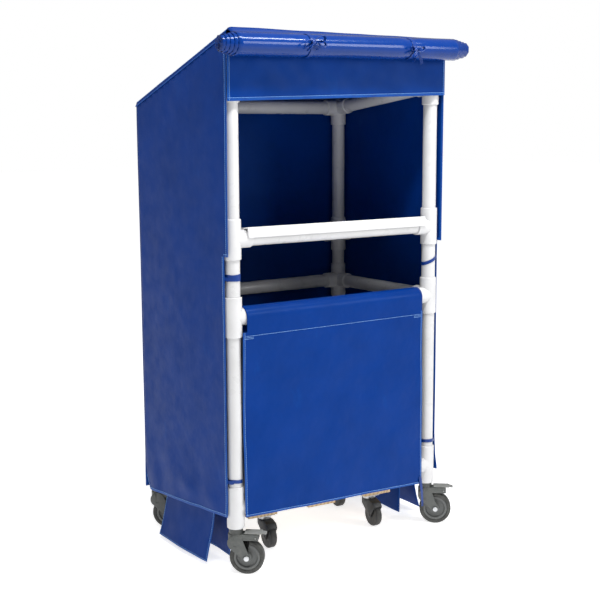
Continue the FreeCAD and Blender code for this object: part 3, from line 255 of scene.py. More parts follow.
def vinyl_finish(name, roughness, coat, drape, coat_roughness=0.3):
    """Coated cloth: a fine scrim shows through a smooth skin, which is uneven like a peel; its colour has
    darker patches of painted shade and paler streaks of painted sheen.
    """
    material = finish(name, VINYL_BLUE, roughness, Specular_IOR_Level=0.14, Coat_Weight=coat,
                      Specular_Tint=SHEEN_BLUE, Coat_Roughness=coat_roughness)
    # Broad darker patches painted into the colour stand for shade, and the paler streaks below stand for
    # sheen.
    painted_shade_patches = pattern(material, NOISE, 6, cloth=True, Detail=5.0, Roughness=0.6)
    mottle(material, painted_shade_patches, VINYL_PAINTED_SHADE, 0.35, 0.7)
    painted_sheen_streaks = pattern(material, NOISE, 14, (1, 0.35, 1), cloth=True, Detail=7.0, Roughness=0.65)
    mottle(material, painted_sheen_streaks, VINYL_PAINTED_SHEEN, 0.6, 0.9)
    relief(material, pattern(material, NOISE, 9, cloth=True, Detail=3.0), drape, 0.012)
    relief(material, pattern(material, NOISE, 55, cloth=True, Detail=4.0), 0.25, 0.0012)
    for threads in ((1, 0, 0), (0, 1, 0)):
        scrim = pattern(material, WAVE, 260, threads, cloth=True, Distortion=1.5, Detail=1.0)
        relief(material, scrim, 0.06, 0.0003)
    roughen(material, pattern(material, NOISE, 22, cloth=True, Detail=6.0), roughness - 0.06,
            roughness + 0.1)
    return material


vinyl = vinyl_finish("blue_vinyl", 0.46, 0.02, 0.3)

binding = finish("binding_tape", BINDING_BLUE, 0.5, Specular_IOR_Level=0.2)
mottle(binding, pattern(binding, NOISE, 40, Detail=4.0), VINYL_BLUE, 0.5, 0.85)
relief(binding, pattern(binding, NOISE, 1500, Detail=2.0), 0.3, 0.0004)

thread = finish("sewing_thread", THREAD_BLUE, 0.6, Specular_IOR_Level=0.3)
relief(thread, pattern(thread, WAVE, 900, (1, 1, 1)), 0.5, 0.0002)


def cut_cloth(corners, step, notch=None):
    """Flat cloth cut to an outline, finely divided so that it can take folds.

    corners go round counter-clockwise.  notch is a corner to cut out, as the point that stays
    and the point that the outline had there.
    """
    low_a = min(a for a, b in corners)
    high_a = max(a for a, b in corners)
    low_b = min(b for a, b in corners)
    high_b = max(b for a, b in corners)
    bm = bmesh.new()
    bmesh.ops.create_grid(bm, x_segments=math.ceil((high_a - low_a) / step),
                          y_segments=math.ceil((high_b - low_b) / step), size=0.5)
    bmesh.ops.scale(bm, verts=bm.verts, vec=(high_a - low_a, high_b - low_b, 1))
    bmesh.ops.translate(bm, verts=bm.verts, vec=((low_a + high_a) / 2, (low_b + high_b) / 2, 0))
    for start, end in zip(corners, corners[1:] + corners[:1]):
        outward = (end[1] - start[1], start[0] - end[0], 0)
        everything = bm.verts[:] + bm.edges[:] + bm.faces[:]
        bmesh.ops.bisect_plane(bm, geom=everything, plane_co=(*start, 0), plane_no=outward,
                               clear_outer=True)
    if notch:
        (keep_a, keep_b), (gone_a, gone_b) = notch
        for across in ((1, 0, 0), (0, 1, 0)):
            everything = bm.verts[:] + bm.edges[:] + bm.faces[:]
            bmesh.ops.bisect_plane(bm, geom=everything, plane_co=(keep_a, keep_b, 0), plane_no=across)
        gone = [face for face in bm.faces
                if (face.calc_center_median().x - keep_a) * (gone_a - keep_a) > 0
                and (face.calc_center_median().y - keep_b) * (gone_b - keep_b) > 0]
        bmesh.ops.delete(bm, geom=gone, context="FACES")
    weave = bm.loops.layers.uv.new("cloth")
    for face in bm.faces:
        for loop in face.loops:
            loop[weave].uv = loop.vert.co.xy
    return bm


def hang(name, bm, spot, body="frame", material=vinyl):
    """Hangs cut cloth in its place: spot gives the place of each of its points."""
    for vert in bm.verts:
        vert.co = spot(vert.co.x, vert.co.y, 0)
    piece = show(name, bm, material, body)
    solid = piece.modifiers.new("cloth thickness", "SOLIDIFY")
    solid.thickness = VINYL_THICK
    solid.offset = 0
    return piece


def area_of(corners):
    """Area inside an outline."""
    turns = zip(corners, corners[1:] + corners[:1])
    return abs(sum(a[0] * b[1] - b[0] * a[1] for a, b in turns)) / 2


def sweep(bm, section, steps, place):
    """A closed bar: place(corner of the section, share of the way along) puts each corner."""
    made = bmesh.ops.create_grid(bm, x_segments=len(section), y_segments=steps, size=0.5)["verts"]
    for vert in made:
        corner = section[round((vert.co.x + 0.5) * len(section)) % len(section)]
        vert.co = place(corner, vert.co.y + 0.5)
    bmesh.ops.remove_doubles(bm, verts=made, dist=WELD)
    walls = {face for vert in made if vert.is_valid for face in vert.link_faces}
    open_ends = [edge for edge in {edge for face in walls for edge in face.edges} if edge.is_boundary]
    caps = bmesh.ops.holes_fill(bm, edges=open_ends, sides=0)["faces"]
    bmesh.ops.recalc_face_normals(bm, faces=list(walls) + caps)


def turned_edge(width, proud):
    """Section of cloth turned over an edge: how far in from the edge, how far out."""
    lip = 0.0009
    return [(width, 0), (width - lip, proud), (lip, proud), (-lip, proud / 2), (-lip, -proud / 2),
            (lip, -proud), (width - lip, -proud)]


def sew_edges(spot, edges, bm_hem, bm_thread, width, proud, pitch=0.0052):
    """Lays a turned edge along each edge of a sheet, and a row of stitches inside it."""
    for start, end in edges:
        start = Vector(start)
        run = Vector(end) - start
        inward = Vector((-run.y, run.x)).normalized()

        def on_edge(corner, share):
            at = start + run * share + inward * corner[0]
            return spot(at.x, at.y, corner[1])

        sweep(bm_hem, turned_edge(width, proud), max(2, round(run.length / 0.012)), on_edge)
        sew_line(spot, bm_thread, start + inward * (width * 0.82), run, proud, pitch)


def sew_line(spot, bm_thread, start, run, proud, pitch=0.0052):
    """A row of separate stitches lying on the cloth."""
    thread_radius = 0.00055
    count = max(1, int(run.length / pitch))
    for index in range(count):
        ends = [start + run * ((index + share) / count) for share in (0.14, 0.86)]
        low, high = (spot(end.x, end.y, proud + thread_radius * 0.4) for end in ends)
        turn = (high - low).to_track_quat("Z", "Y").to_matrix().to_4x4()
        bmesh.ops.create_cone(bm_thread, cap_ends=True, segments=5, radius1=thread_radius,
                              radius2=thread_radius, depth=(high - low).length,
                              matrix=Matrix.Translation((low + high) / 2) @ turn)


def trim(name, spot, edges, width, proud, body="frame", material=binding):
    """The turned edges of a sheet and their stitching, as two pieces."""
    hem = bmesh.new()
    stitches = bmesh.new()
    sew_edges(spot, edges, hem, stitches, width, proud)
    return [show(name + "_edging", hem, material, body),
            show(name + "_stitching", stitches, thread, body)]


def ripple(a, b, size, seed):
    """Smooth unevenness between -1 and 1, with waves of about the given size."""
    return noise.noise(Vector((a / size, b / size, seed)))


CLOTH_STEP = 0.012
SIDE_HEM = 0.008
HEM_PROUD = 0.0012
STEP_BACK = 0.020
STEP_LEVEL = 0.915
HEM_RISE = 0.040
HEM_CORNER = 0.036
CORNER_FLARE = 0.013
RAIL_FALL = math.tan(math.radians(7))
FRONT_TOP_LEVEL = 1.387
VALANCE_RAIL_LEVEL = 1.487
ROOF_UNDER_RAIL = 0.0281
ROOF_DROP = 0.018
SEAM_GAP = 0.0006

roof_fall = (VALANCE_RAIL_LEVEL - FRONT_TOP_LEVEL) / (post_back - post_front) + RAIL_FALL
roof_tilt = math.atan(roof_fall)


def roof_level(y):
    """Underside of the roof sheet."""
    return VALANCE_RAIL_LEVEL + ROOF_UNDER_RAIL - (y - post_front) * roof_fall


def seam_level(y):
    """Top of the side panels, under the roof's bent edges."""
    return roof_level(y) - ROOF_DROP / math.cos(roof_tilt) - SEAM_GAP


for side, label in ((-1, "left"), (1, "right")):
    panel_low, panel_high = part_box("cover_" + label)
    panel_x = (panel_low.x + panel_high.x) / 2
    front, back = panel_low.y, panel_high.y
    hem_front = panel_low.z + HEM_RISE
    hem_back = panel_low.z

    def side_spot(y, z, out):
        """The side hangs straight from its seam, billows a little and crumples near its hem."""
        along = (y - front) / (back - front)
        up = max(0.0, min(1.0, (z - hem_back) / (seam_level(y) - hem_back)))
        billow = 0.004 * math.sin(math.pi * along) * math.sin(math.pi * up)
        long_fold = 0.0022 * ripple(y, z * 0.35, 0.16, 3.1 * side)
        near_hem = math.exp(-((z - hem_front) / 0.09) ** 2)
        crumple = 0.0075 * near_hem * ripple(y * 0.8, z, 0.07, 8.7 * side)
        loose = 0.010 * near_hem * math.sin(math.pi * along)
        flare = CORNER_FLARE * max(0.0, side) * math.exp(-((z - hem_front) / 0.06) ** 2) * (1 - along) ** 3
        edge = min(1.0, (seam_level(y) - z) / 0.05)
        swell = (billow + long_fold + crumple + loose + flare) * edge
        return Vector((panel_x + side * (out + swell), y, z))

    corners = [(front, hem_front), (back - HEM_CORNER, hem_back), (back, hem_back + HEM_CORNER),
               (back, seam_level(back)), (front, seam_level(front))]
    step = (front + STEP_BACK, STEP_LEVEL)
    turned_up = [(corners[0][0] + STEP_BACK, hem_front), corners[1], corners[2]]
    edges = [(turned_up[0], turned_up[1]), (turned_up[1], turned_up[2]),
             (corners[4], (front, STEP_LEVEL)), ((front, STEP_LEVEL), step), (step, turned_up[0])]
    if side < 0:
        # The left side is seen from -X, so its cloth runs from the back to the front.
        def left_spot(back_way, z, out):
            return side_spot(-back_way, z, out)

        mirrored = [(-y, z) for y, z in reversed(corners)]
        cloth = cut_cloth(mirrored, CLOTH_STEP, ((-step[0], step[1]), (-front, 0)))
        panel = hang("side_" + label, cloth, left_spot)
        edges = [((-b[0], b[1]), (-a[0], a[1])) for a, b in edges]
        sewn = trim("side_" + label, left_spot, edges, SIDE_HEM, HEM_PROUD)
    else:
        cloth = cut_cloth(corners, CLOTH_STEP, (step, (front, 0)))
        panel = hang("side_" + label, cloth, side_spot)
        sewn = trim("side_" + label, side_spot, edges, SIDE_HEM, HEM_PROUD)
    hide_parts("cover_" + label)
    notch_area = STEP_BACK * (STEP_LEVEL - hem_front)
    seam_level(front) - hem_back
    area_of(corners) - notch_area


# ---------------------------------------------------------------- cover roof
# One sheet laid over the top rails.  Its long edges bend down over the rails to welted seams,
# and between the rails it sags a little.

ROOF_BEND = 0.017
ROOF_SAG = 0.006
ROOF_STEP = 0.010
ROOF_INSET = 0.002
SEAM_TO_STITCH = 0.010

roof_low, roof_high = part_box("cover_roof")
roof_half = (roof_high.x - roof_low.x) / 2 - VINYL_THICK / 2
roof_front = roof_low.y + ROOF_INSET
roof_back = roof_high.y - ROOF_INSET
roof_length = (roof_back - roof_front) / math.cos(roof_tilt)
roof_cut_half = roof_half - ROOF_BEND + math.hypot(ROOF_BEND, ROOF_DROP)


def roof_spot(across, down, out):
    """across runs from the middle of the cut roof, down from its front edge to its back."""
    flat_half = roof_half - ROOF_BEND
    over = max(0.0, abs(across) - flat_half) / (roof_cut_half - flat_half)
    half_out = min(abs(across), flat_half) + ROOF_BEND * math.sin(over * math.pi / 2)
    x = middle_x + math.copysign(half_out, across)
    y = roof_front + down * math.cos(roof_tilt)
    bend = ROOF_DROP * (1 - math.cos(over * math.pi / 2))
    sag = ROOF_SAG * math.cos(math.pi * min(0.5, abs(across) / (2 * flat_half))) ** 2
    sag *= math.sin(math.pi * down / roof_length)
    uneven = 0.0012 * ripple(across, down, 0.11, 5.2) * (1 - over)
    lift = out + VINYL_THICK + uneven - bend - sag
    level = roof_level(y) + lift / math.cos(roof_tilt)
    return Vector((x, y, level))


roof_corners = [(-roof_cut_half, 0), (roof_cut_half, 0), (roof_cut_half, roof_length),
                (-roof_cut_half, roof_length)]
roof = hang("roof", cut_cloth(roof_corners, ROOF_STEP), roof_spot)
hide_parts("cover_roof")

WELT_RADIUS = 0.0021
ROUND_SECTION = [(math.cos(math.tau * turn / 8), math.sin(math.tau * turn / 8)) for turn in range(8)]

welts = bmesh.new()
for side in (-1, 1):
    def on_seam(corner, share):
        at = roof_spot(side * roof_cut_half, share * roof_length, 0)
        return at + Vector((corner[0], 0, corner[1])) * WELT_RADIUS

    sweep(welts, ROUND_SECTION, 40, on_seam)
roof_sewn = [show("roof_welts", welts, binding, "frame")]

roof_stitches = bmesh.new()
for side in (-1, 1):
    seam_start = Vector((side * (roof_cut_half - SEAM_TO_STITCH), 0))
    sew_line(roof_spot, roof_stitches, seam_start, Vector((0, roof_length)), VINYL_THICK / 2)
back_seam = Vector((-roof_cut_half + 2 * SEAM_TO_STITCH, roof_length - SEAM_TO_STITCH))
back_run = Vector((2 * roof_cut_half - 4 * SEAM_TO_STITCH, 0))
sew_line(roof_spot, roof_stitches, back_seam, back_run, VINYL_THICK / 2)
roof_sewn.append(show("roof_stitching", roof_stitches, thread, "frame"))


# ---------------------------------------------------------------- cover back
# The closed back hangs from the roof to just above the casters, hemmed below.

BACK_HEM = 0.010
BACK_STEP = 0.016
BACK_MARGIN = 0.002

back_low, back_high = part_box("cover_back")
back_y = (back_low.y + back_high.y) / 2


def back_spot(left_way, z, out):
    """left_way runs from the right to the left, because the back is seen from behind."""
    x = -left_way
    along = (x - back_low.x) / (back_high.x - back_low.x)
    up = (z - back_low.z) / (back_high.z - back_low.z)
    billow = 0.006 * math.sin(math.pi * along) * math.sin(math.pi * min(1.0, up))
    folds = 0.003 * ripple(x, z * 0.4, 0.15, 11.0)
    near_hem = math.exp(-((z - back_low.z) / 0.10) ** 2)
    loose = near_hem * (0.004 + 0.006 * ripple(x, z, 0.11, 2.0))
    pinned = min(1.0, (back_high.z - z) / 0.06)
    return Vector((x, back_y + out + (billow + folds + loose) * pinned, z))


back_seam_level = seam_level(back_high.y)
back_top = back_high.z
flat_half = roof_half - ROOF_BEND - BACK_MARGIN
back_corners = [(-back_high.x, back_low.z), (-back_low.x, back_low.z), (-back_low.x, back_seam_level),
                (-(middle_x - flat_half), back_top), (-(middle_x + flat_half), back_top),
                (-back_high.x, back_seam_level)]
back_panel = hang("back", cut_cloth(back_corners, BACK_STEP), back_spot)
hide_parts("cover_back")
back_edges = [(back_corners[0], back_corners[1]), (back_corners[1], back_corners[2]),
              (back_corners[5], back_corners[0])]
back_sewn = trim("back", back_spot, back_edges, BACK_HEM, HEM_PROUD)
area_of(back_corners)


# ---------------------------------------------------------------- valance
# The front apron hangs under the roof's front edge, with a stitched lower hem and tape down
# both sides.

apron_low, apron_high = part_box("valance")
apron_y = (apron_low.y + apron_high.y) / 2
APRON_RISE = 0.026
APRON_MARGIN = 0.006
APRON_STEP = 0.009
APRON_HEM = 0.009
APRON_TAPE = 0.007
apron_edge = seam_level(apron_low.y) - APRON_MARGIN


def apron_spot(x, z, out):
    along = (x - apron_low.x) / (apron_high.x - apron_low.x)
    hang_share = min(1.0, (apron_high.z - z) / (apron_high.z - apron_low.z))
    folds = 0.0030 * ripple(x, z * 1.4, 0.12, 4.4) + 0.0014 * ripple(x, z, 0.045, 6.0)
    belly = 0.003 * math.sin(math.pi * along) * hang_share
    sway = 0.0012 * math.sin(along * 9.0) * hang_share
    pinned = min(1.0, min(along, 1 - along) / 0.04, (apron_high.z - z) / 0.03)
    return Vector((x, apron_y - out - (folds + belly + sway) * max(0.0, pinned), z))


apron_corners = [(apron_low.x, apron_low.z), (apron_high.x, apron_low.z + APRON_RISE),
                 (apron_high.x, apron_edge), (middle_x + flat_half, apron_high.z),
                 (middle_x - flat_half, apron_high.z), (apron_low.x, apron_edge)]
apron = hang("apron", cut_cloth(apron_corners, APRON_STEP), apron_spot)
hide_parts("valance")
apron_edges = [(apron_corners[0], apron_corners[1])]
apron_sewn = trim("apron", apron_spot, apron_edges, APRON_HEM, 0.0013)
side_tape = [(apron_corners[1], apron_corners[2]), (apron_corners[5], apron_corners[0])]
apron_sewn += trim("apron_side", apron_spot, side_tape, APRON_TAPE, 0.0015)
area_of(apron_corners)


# ---------------------------------------------------------------- rolled curtain
# The front curtain, 1.3 m of glossy cloth, rolled up tight in front of the valance.  Its turns
# slide out sideways at both ends like a telescope, and its last turn is sewn to the roof.

ROLL_RADIUS = 0.0318
ROLL_CORE = 0.0060
ROLL_PITCH = 0.0024
ROLL_END_RADIUS = 0.022
ROLL_END = 0.044
ROLL_TILT = math.radians(0.9)
ROLL_STEP = 0.0165
TONGUE_DEEP = 0.045
TONGUE_STEP = 0.011
TIE_PLACES = (-0.155, 0.210)

roll_low, roll_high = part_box("rolled_curtain")
roll_middle = (roll_low + roll_high) / 2
roll_half = (roll_high.x - roll_low.x) / 2
roll_axis = Vector((math.cos(ROLL_TILT), 0, math.sin(ROLL_TILT)))
wound_length = math.pi * (ROLL_RADIUS ** 2 - ROLL_CORE ** 2) / ROLL_PITCH


def pinch(along):
    """The ties draw the roll in, more at the right than at the left."""
    depths = zip(TIE_PLACES, (0.05, 0.13), (0.012, 0.022))
    return 1 - sum(depth * math.exp(-((along - place) / reach) ** 2) for place, depth, reach in depths)


def roll_point(along, angle, radius):
    """A point round the roll; angle 0 is on top and a quarter turn is at the front."""
    uneven = 1 + 0.010 * ripple(along, angle * 0.02, 0.10, 1.7)
    reach = radius * pinch(along) * uneven
    round_it = Vector((0, -math.sin(angle), math.cos(angle)))
    return roll_middle + roll_axis * along + round_it * reach


def roll_spot(across, wound, out):
    """across is the share from the left end, wound how far the cloth is from the core."""
    radius = math.sqrt(ROLL_CORE ** 2 + wound * ROLL_PITCH / math.pi)
    angle = math.tau * (ROLL_RADIUS - radius) / ROLL_PITCH
    slid = max(0.0, (radius - ROLL_END_RADIUS) / (ROLL_RADIUS - ROLL_END_RADIUS))
    end = roll_half - 0.004 - ROLL_END * slid + 0.003 * ripple(angle * 0.3, 0, 1, 9.0)
    return roll_point((across - 0.5) * 2 * end, angle, radius + out)


glossy_vinyl = vinyl_finish("glossy_vinyl", 0.26, 0.45, 0.12, 0.12)
relief(glossy_vinyl, pattern(glossy_vinyl, NOISE, 420, cloth=True, Detail=3.0), 0.35, 0.0004)
rolled = cut_cloth([(0, 0), (1, 0), (1, wound_length), (0, wound_length)], ROLL_STEP)
for vert in rolled.verts:
    vert.co = roll_spot(vert.co.x, vert.co.y, 0)
bmesh.ops.recalc_face_normals(rolled, faces=rolled.faces)
curtain = show("curtain_roll", rolled, glossy_vinyl, "frame")
curtain_body = curtain.modifiers.new("cloth thickness", "SOLIDIFY")
curtain_body.thickness = VINYL_THICK
curtain_body.offset = 0
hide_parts("rolled_curtain")


def tongue_spot(x, forward, out):
    """The last turn, from the roof's front edge to the top of the roll."""
    roof_edge = roof_spot(x - middle_x, 0.002, 0.0012)
    on_roll = roll_point(x - roll_middle.x, -0.15, ROLL_RADIUS)
    share = forward / TONGUE_DEEP
    dip = 0.004 * math.sin(math.pi * share)
    return roof_edge.lerp(on_roll, share) - Vector((0, 0, dip))


tongue_half = roll_half - ROLL_END - 0.010
tongue_corners = [(roll_middle.x - tongue_half, 0), (roll_middle.x + tongue_half, 0),
                  (roll_middle.x + tongue_half, TONGUE_DEEP),
                  (roll_middle.x - tongue_half, TONGUE_DEEP)]
tongue = hang("curtain_top_edge", cut_cloth(tongue_corners, TONGUE_STEP), tongue_spot,
              material=glossy_vinyl)


# ---------------------------------------------------------------- curtain ties
# Two narrow straps of the same cloth hold the roll.  Each goes round it and is tied in front
# in a loose bow whose loops stand off the roll.

TIE_WIDTH = 0.013
TIE_THICK = 0.0012


def strap_section(width, thick):
    """Section of a flat strap with soft corners: across the strap, through it."""
    soft = thick * 0.35
    half = width / 2
    return [(half, -thick / 2 + soft), (half, thick / 2 - soft), (half - soft, thick / 2),
            (-half + soft, thick / 2), (-half, thick / 2 - soft), (-half, -thick / 2 + soft),
            (-half + soft, -thick / 2), (half - soft, -thick / 2)]


def strap(bm, line, flat_way, steps, width=TIE_WIDTH):
    """Sews a strap along a line: flat_way is the direction across it.  Gives its length."""
    def on_line(corner, share):
        near = 0.5 / steps
        ahead = line(min(1.0, share + near)) - line(max(0.0, share - near))
        wide = flat_way(share).normalized()
        through = ahead.cross(wide).normalized()
        return line(share) + wide * corner[0] + through * corner[1]

    sweep(bm, strap_section(width, TIE_THICK), steps, on_line)
    stations = [line(index / steps) for index in range(steps + 1)]
    return sum((after - before).length for before, after in zip(stations, stations[1:]))


def bow_loop(knot, reach, spread, swell):
    """A loop that leaves the knot, goes out along reach and comes back."""
    def line(share):
        angle = math.tau * share
        away = (1 - math.cos(angle)) / 2
        return knot + reach * away + spread * (math.sin(angle) * (0.35 + 0.65 * away)) + swell * away
    return line


def bow_end(knot, to, swell):
    """A free end that falls from the knot."""
    def line(share):
        return knot + to * share + swell * math.sin(math.pi * share)
    return line


OUT = Vector((0, -1, 0))
strap_cloth = vinyl_finish("strap_vinyl", 0.34, 0.6, 0.1)
relief(strap_cloth, pattern(strap_cloth, NOISE, 160, Detail=3.0), 0.3, 0.0006)

LEFT_BOW = (
    # reach, spread and swell of each loop, along X, out of the roll and up
    (Vector((-0.036, -0.006, -0.010)), Vector((0.002, 0, 0.012)), OUT * 0.006),
    (Vector((0.034, -0.004, -0.006)), Vector((0, 0, 0.010)), OUT * 0.007),
    (Vector((0.030, -0.010, 0.012)), Vector((-0.004, 0, 0.010)), OUT * 0.004),
)
RIGHT_BOW = (
    (Vector((-0.024, -0.006, 0.006)), Vector((0, 0, 0.008)), OUT * 0.005),
    (Vector((0.026, -0.006, 0.004)), Vector((0.004, 0, 0.009)), OUT * 0.005),
    (Vector((-0.012, -0.008, -0.022)), Vector((0.008, 0, 0.002)), OUT * 0.004),
)
LEFT_ENDS = (
    # fall and swell of each free end
    (Vector((-0.022, -0.004, -0.024)), OUT * 0.003),
    (Vector((0.012, -0.003, -0.020)), OUT * 0.004),
)
RIGHT_ENDS = (
    (Vector((0.024, -0.002, -0.040)), OUT * 0.008),
    (Vector((-0.010, -0.004, -0.034)), OUT * 0.006),
)

for along, knot_angle, loops, ends, label in (
        (TIE_PLACES[0], 1.35, LEFT_BOW, LEFT_ENDS, "left"),
        (TIE_PLACES[1], 1.75, RIGHT_BOW, RIGHT_ENDS, "right")):
    tie = bmesh.new()

    def round_roll(share):
        wander = 0.002 * math.sin(math.tau * share)
        return roll_point(along + wander, math.tau * share, ROLL_RADIUS + 0.0016)

    def along_roll(share):
        return roll_axis

    tied_length = strap(tie, round_roll, along_roll, 48)
    knot = roll_point(along, knot_angle, ROLL_RADIUS + 0.0045)
    for number, (reach, spread, swell) in enumerate(loops):
        def turned_out(share, lean=0.25 * (number - 1)):
            return Vector((lean, -1, 0.2 * math.sin(math.tau * share)))

        tied_length += strap(tie, bow_loop(knot, reach, spread, swell), turned_out, 26, TIE_WIDTH * 0.75)
    for to, swell in ends:
        def hanging(share):
            return Vector((0.8 - 0.6 * share, -0.5 - 0.4 * share, 0.1))

        tied_length += strap(tie, bow_end(knot, to, swell), hanging, 12, TIE_WIDTH * 0.7)

    def round_knot(share):
        angle = math.tau * share
        return knot + Vector((0, -math.cos(angle) * 0.0045 - 0.001, math.sin(angle) * 0.0075))

    tied_length += strap(tie, round_knot, lambda share: Vector((1, 0, 0.25)), 14, 0.011)
    piece = show("curtain_tie_" + label, tie, strap_cloth, "frame")
    if label == "left":
        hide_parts("curtain_ties")


# ---------------------------------------------------------------- post ties
# Flat straps from the sides' front edges go once or twice round each front post.

POST_TIE_WIDTH = 0.0105
POST_TIE_GAP = 0.0012
UPPER_TIES = 0.855
LOWER_TIES = 0.275


def post_tie(name, post_x, side, level, climb, wraps):
    """One tie: climb is how much its wraps rise from one side of the post to the other."""
    bm = bmesh.new()
    post = Vector((post_x, post_front, level))
    length = 0
    for wrap in range(wraps):
        lift = (wrap - (wraps - 1) / 2) * POST_TIE_WIDTH * 0.8

        def round_post(share):
            angle = math.tau * share
            reach = PIPE_RADIUS + POST_TIE_GAP + 0.0003 * math.sin(3 * angle + wrap)
            rise = climb * math.cos(angle) * side + lift + 0.0008 * math.sin(2 * angle + wrap * 2)
            return post + Vector((math.cos(angle) * reach, math.sin(angle) * reach, rise))

        length += strap(bm, round_post, lambda share: Vector((0, 0, 1)), 36, POST_TIE_WIDTH)
    on_post = post + Vector((side * PIPE_RADIUS * 0.7, -PIPE_RADIUS * 0.85, climb * 0.7))
    at_panel = Vector((post_x + side * 0.0285, post_front - 0.003, level + climb * 1.3))

    def to_panel(share):
        return on_post.lerp(at_panel, share) + Vector((0, -0.002, -0.002)) * math.sin(math.pi * share)

    length += strap(bm, to_panel, lambda share: Vector((0, 0.3 * share, 1)), 8, POST_TIE_WIDTH)
    piece = show(name, bm, strap_cloth, "frame")
    return piece


upper_left_tie = post_tie("post_tie_upper_left", post_left, -1, UPPER_TIES, -0.001, 2)
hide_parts("post_ties")
post_tie("post_tie_upper_right", post_right, 1, UPPER_TIES, 0.012, 1)
post_tie("post_tie_lower_left", post_left, -1, LOWER_TIES, 0.0, 1)
post_tie("post_tie_lower_right", post_right, 1, LOWER_TIES, 0.001, 1)


# ---------------------------------------------------------------- return flap
# A sheet with a sleeve at its top that turns on the front return rail.  It hangs in front of
# the frame, hemmed on three sides, with a bright line of stitching under the sleeve and the
# loose end of its hem tape at the lower right corner.

FLAP_SHEET = 0.0012
RAIL_LEVEL = 0.743
SLEEVE_STITCH = 0.690
SHOULDER_LEVEL = 0.701
SHOULDER_WIDTH = 0.013
FLAP_RISE = 0.024
DOUBLE_STITCHED = 0.032
DOUBLE_GAP = 0.004
DOUBLE_PITCH = 0.004
FLAP_STEP = 0.0085
FLAP_HEM = 0.006
SLEEVE_CLOSING = 0.0016

flap_low, flap_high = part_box("return_flap")
flap_front = flap_low.y + FLAP_SHEET / 2
sleeve_radius = post_front - flap_front
to_stitch = Vector((flap_front + SLEEVE_CLOSING - post_front, SLEEVE_STITCH - RAIL_LEVEL))
away_angle = math.atan2(to_stitch.y, to_stitch.x)
leave_angle = away_angle + math.acos(min(1.0, sleeve_radius / to_stitch.length))
closing = math.sqrt(to_stitch.length ** 2 - sleeve_radius ** 2)
sleeve_turn = math.pi - leave_angle
sleeve_arc = sleeve_radius * sleeve_turn
front_hang = RAIL_LEVEL - flap_low.z
flap_cut = closing + sleeve_arc + front_hang


def flap_line(down):
    """Place, in Y and Z, of the cloth at a distance from where the sleeve is closed."""
    if down < closing:
        leave = Vector((math.cos(leave_angle), math.sin(leave_angle))) * sleeve_radius
        at = to_stitch.lerp(leave, down / closing)
    elif down < closing + sleeve_arc:
        angle = leave_angle + (down - closing) / sleeve_radius
        at = Vector((math.cos(angle), math.sin(angle))) * sleeve_radius
    else:
        at = Vector((-sleeve_radius, -(down - closing - sleeve_arc)))
    return Vector((0, post_front + at.x, RAIL_LEVEL + at.y))


def flap_spot(x, up, out):
    """up runs from the hem at 0 to the sleeve's closing at the top of the cut."""
    down = flap_cut - up
    at = flap_line(down)
    hung = max(0.0, (down - closing - sleeve_arc - 0.06) / front_hang)
    across = (x - flap_low.x) / (flap_high.x - flap_low.x)
    swell = 0.006 * math.sin(math.pi * across) * math.sin(math.pi * min(1, hung)) * hung
    slant = 0.0035 * math.sin(7.0 * (at.z - 0.35 * x) + 0.6) * min(1, hung * 3)
    folds = 0.004 * ripple(x, at.z, 0.19, 7.3) * min(1, hung * 4)
    fine = 0.0012 * ripple(x, at.z, 0.06, 5.5) * min(1, hung * 4)
    at.x = x
    if down > closing + sleeve_arc:
        at.y -= out + swell + slant + folds + fine
    else:
        from_rail = Vector((0, at.y - post_front, at.z - RAIL_LEVEL)).normalized()
        at += from_rail * out
    return at


flap_corners = [(flap_low.x, FLAP_RISE), (flap_high.x, 0), (flap_high.x, flap_cut),
                (flap_low.x, flap_cut)]
shoulder = (flap_low.x + SHOULDER_WIDTH, front_hang - (RAIL_LEVEL - SHOULDER_LEVEL))
flap_vinyl = vinyl_finish("flap_vinyl", 0.36, 0.04, 0.5)
flap_cloth = cut_cloth(flap_corners, FLAP_STEP, (shoulder, (flap_low.x, flap_cut)))
flap = hang("flap", flap_cloth, flap_spot, "flap", flap_vinyl)
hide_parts("return_flap")
flap_edges = [(flap_corners[0], flap_corners[1]), (flap_corners[1], (flap_high.x, shoulder[1])),
              ((flap_low.x, shoulder[1]), flap_corners[0])]
flap_sewn = trim("flap", flap_spot, flap_edges, FLAP_HEM, HEM_PROUD, "flap")
flap_thread = bmesh.new()
stitch_height = front_hang - (RAIL_LEVEL - SLEEVE_STITCH)
sew_line(flap_spot, flap_thread, Vector((flap_low.x + 0.004, stitch_height)),
         Vector((flap_high.x - flap_low.x - 0.008, 0)), FLAP_SHEET / 2)
for start_x in (flap_low.x + 0.002, flap_high.x - 0.002 - DOUBLE_STITCHED):
    for row in (1, 2):
        row_start = Vector((start_x, stitch_height - DOUBLE_GAP * row))
        row_run = Vector((DOUBLE_STITCHED, 0))
        sew_line(flap_spot, flap_thread, row_start, row_run, FLAP_SHEET / 2, DOUBLE_PITCH)
flap_sewn.append(show("flap_sleeve_stitching", flap_thread, thread, "flap"))

TAPE_WIDTH = 0.011
TAPE_LENGTH = 0.098
TAPE_ABOVE = 0.022


def tape_spot(share):
    """The loose end of the hem tape hangs from the flap's lower right corner and curls."""
    drop = TAPE_LENGTH * share
    corner = flap_spot(flap_high.x - TAPE_WIDTH / 2, TAPE_ABOVE, 0.0022)
    drift = Vector((0.011 * share ** 1.5, -0.004 * math.sin(math.pi * share), -drop))
    return corner + drift


def tape_way(share):
    return Vector((1, 0.35 * share, 0.06))


tape = bmesh.new()
strap(tape, tape_spot, tape_way, 22, TAPE_WIDTH)
flap_sewn.append(show("flap_tape_end", tape, strap_cloth, "flap"))
notch_area = SHOULDER_WIDTH * (flap_cut - shoulder[1])
area_of(flap_corners) - notch_area


# ---------------------------------------------------------------- skirts
# Loose strips of the same cloth that close the gap under the sides.  The outer pair kick
# outwards at the bottom; the inner pair hang straight behind them.

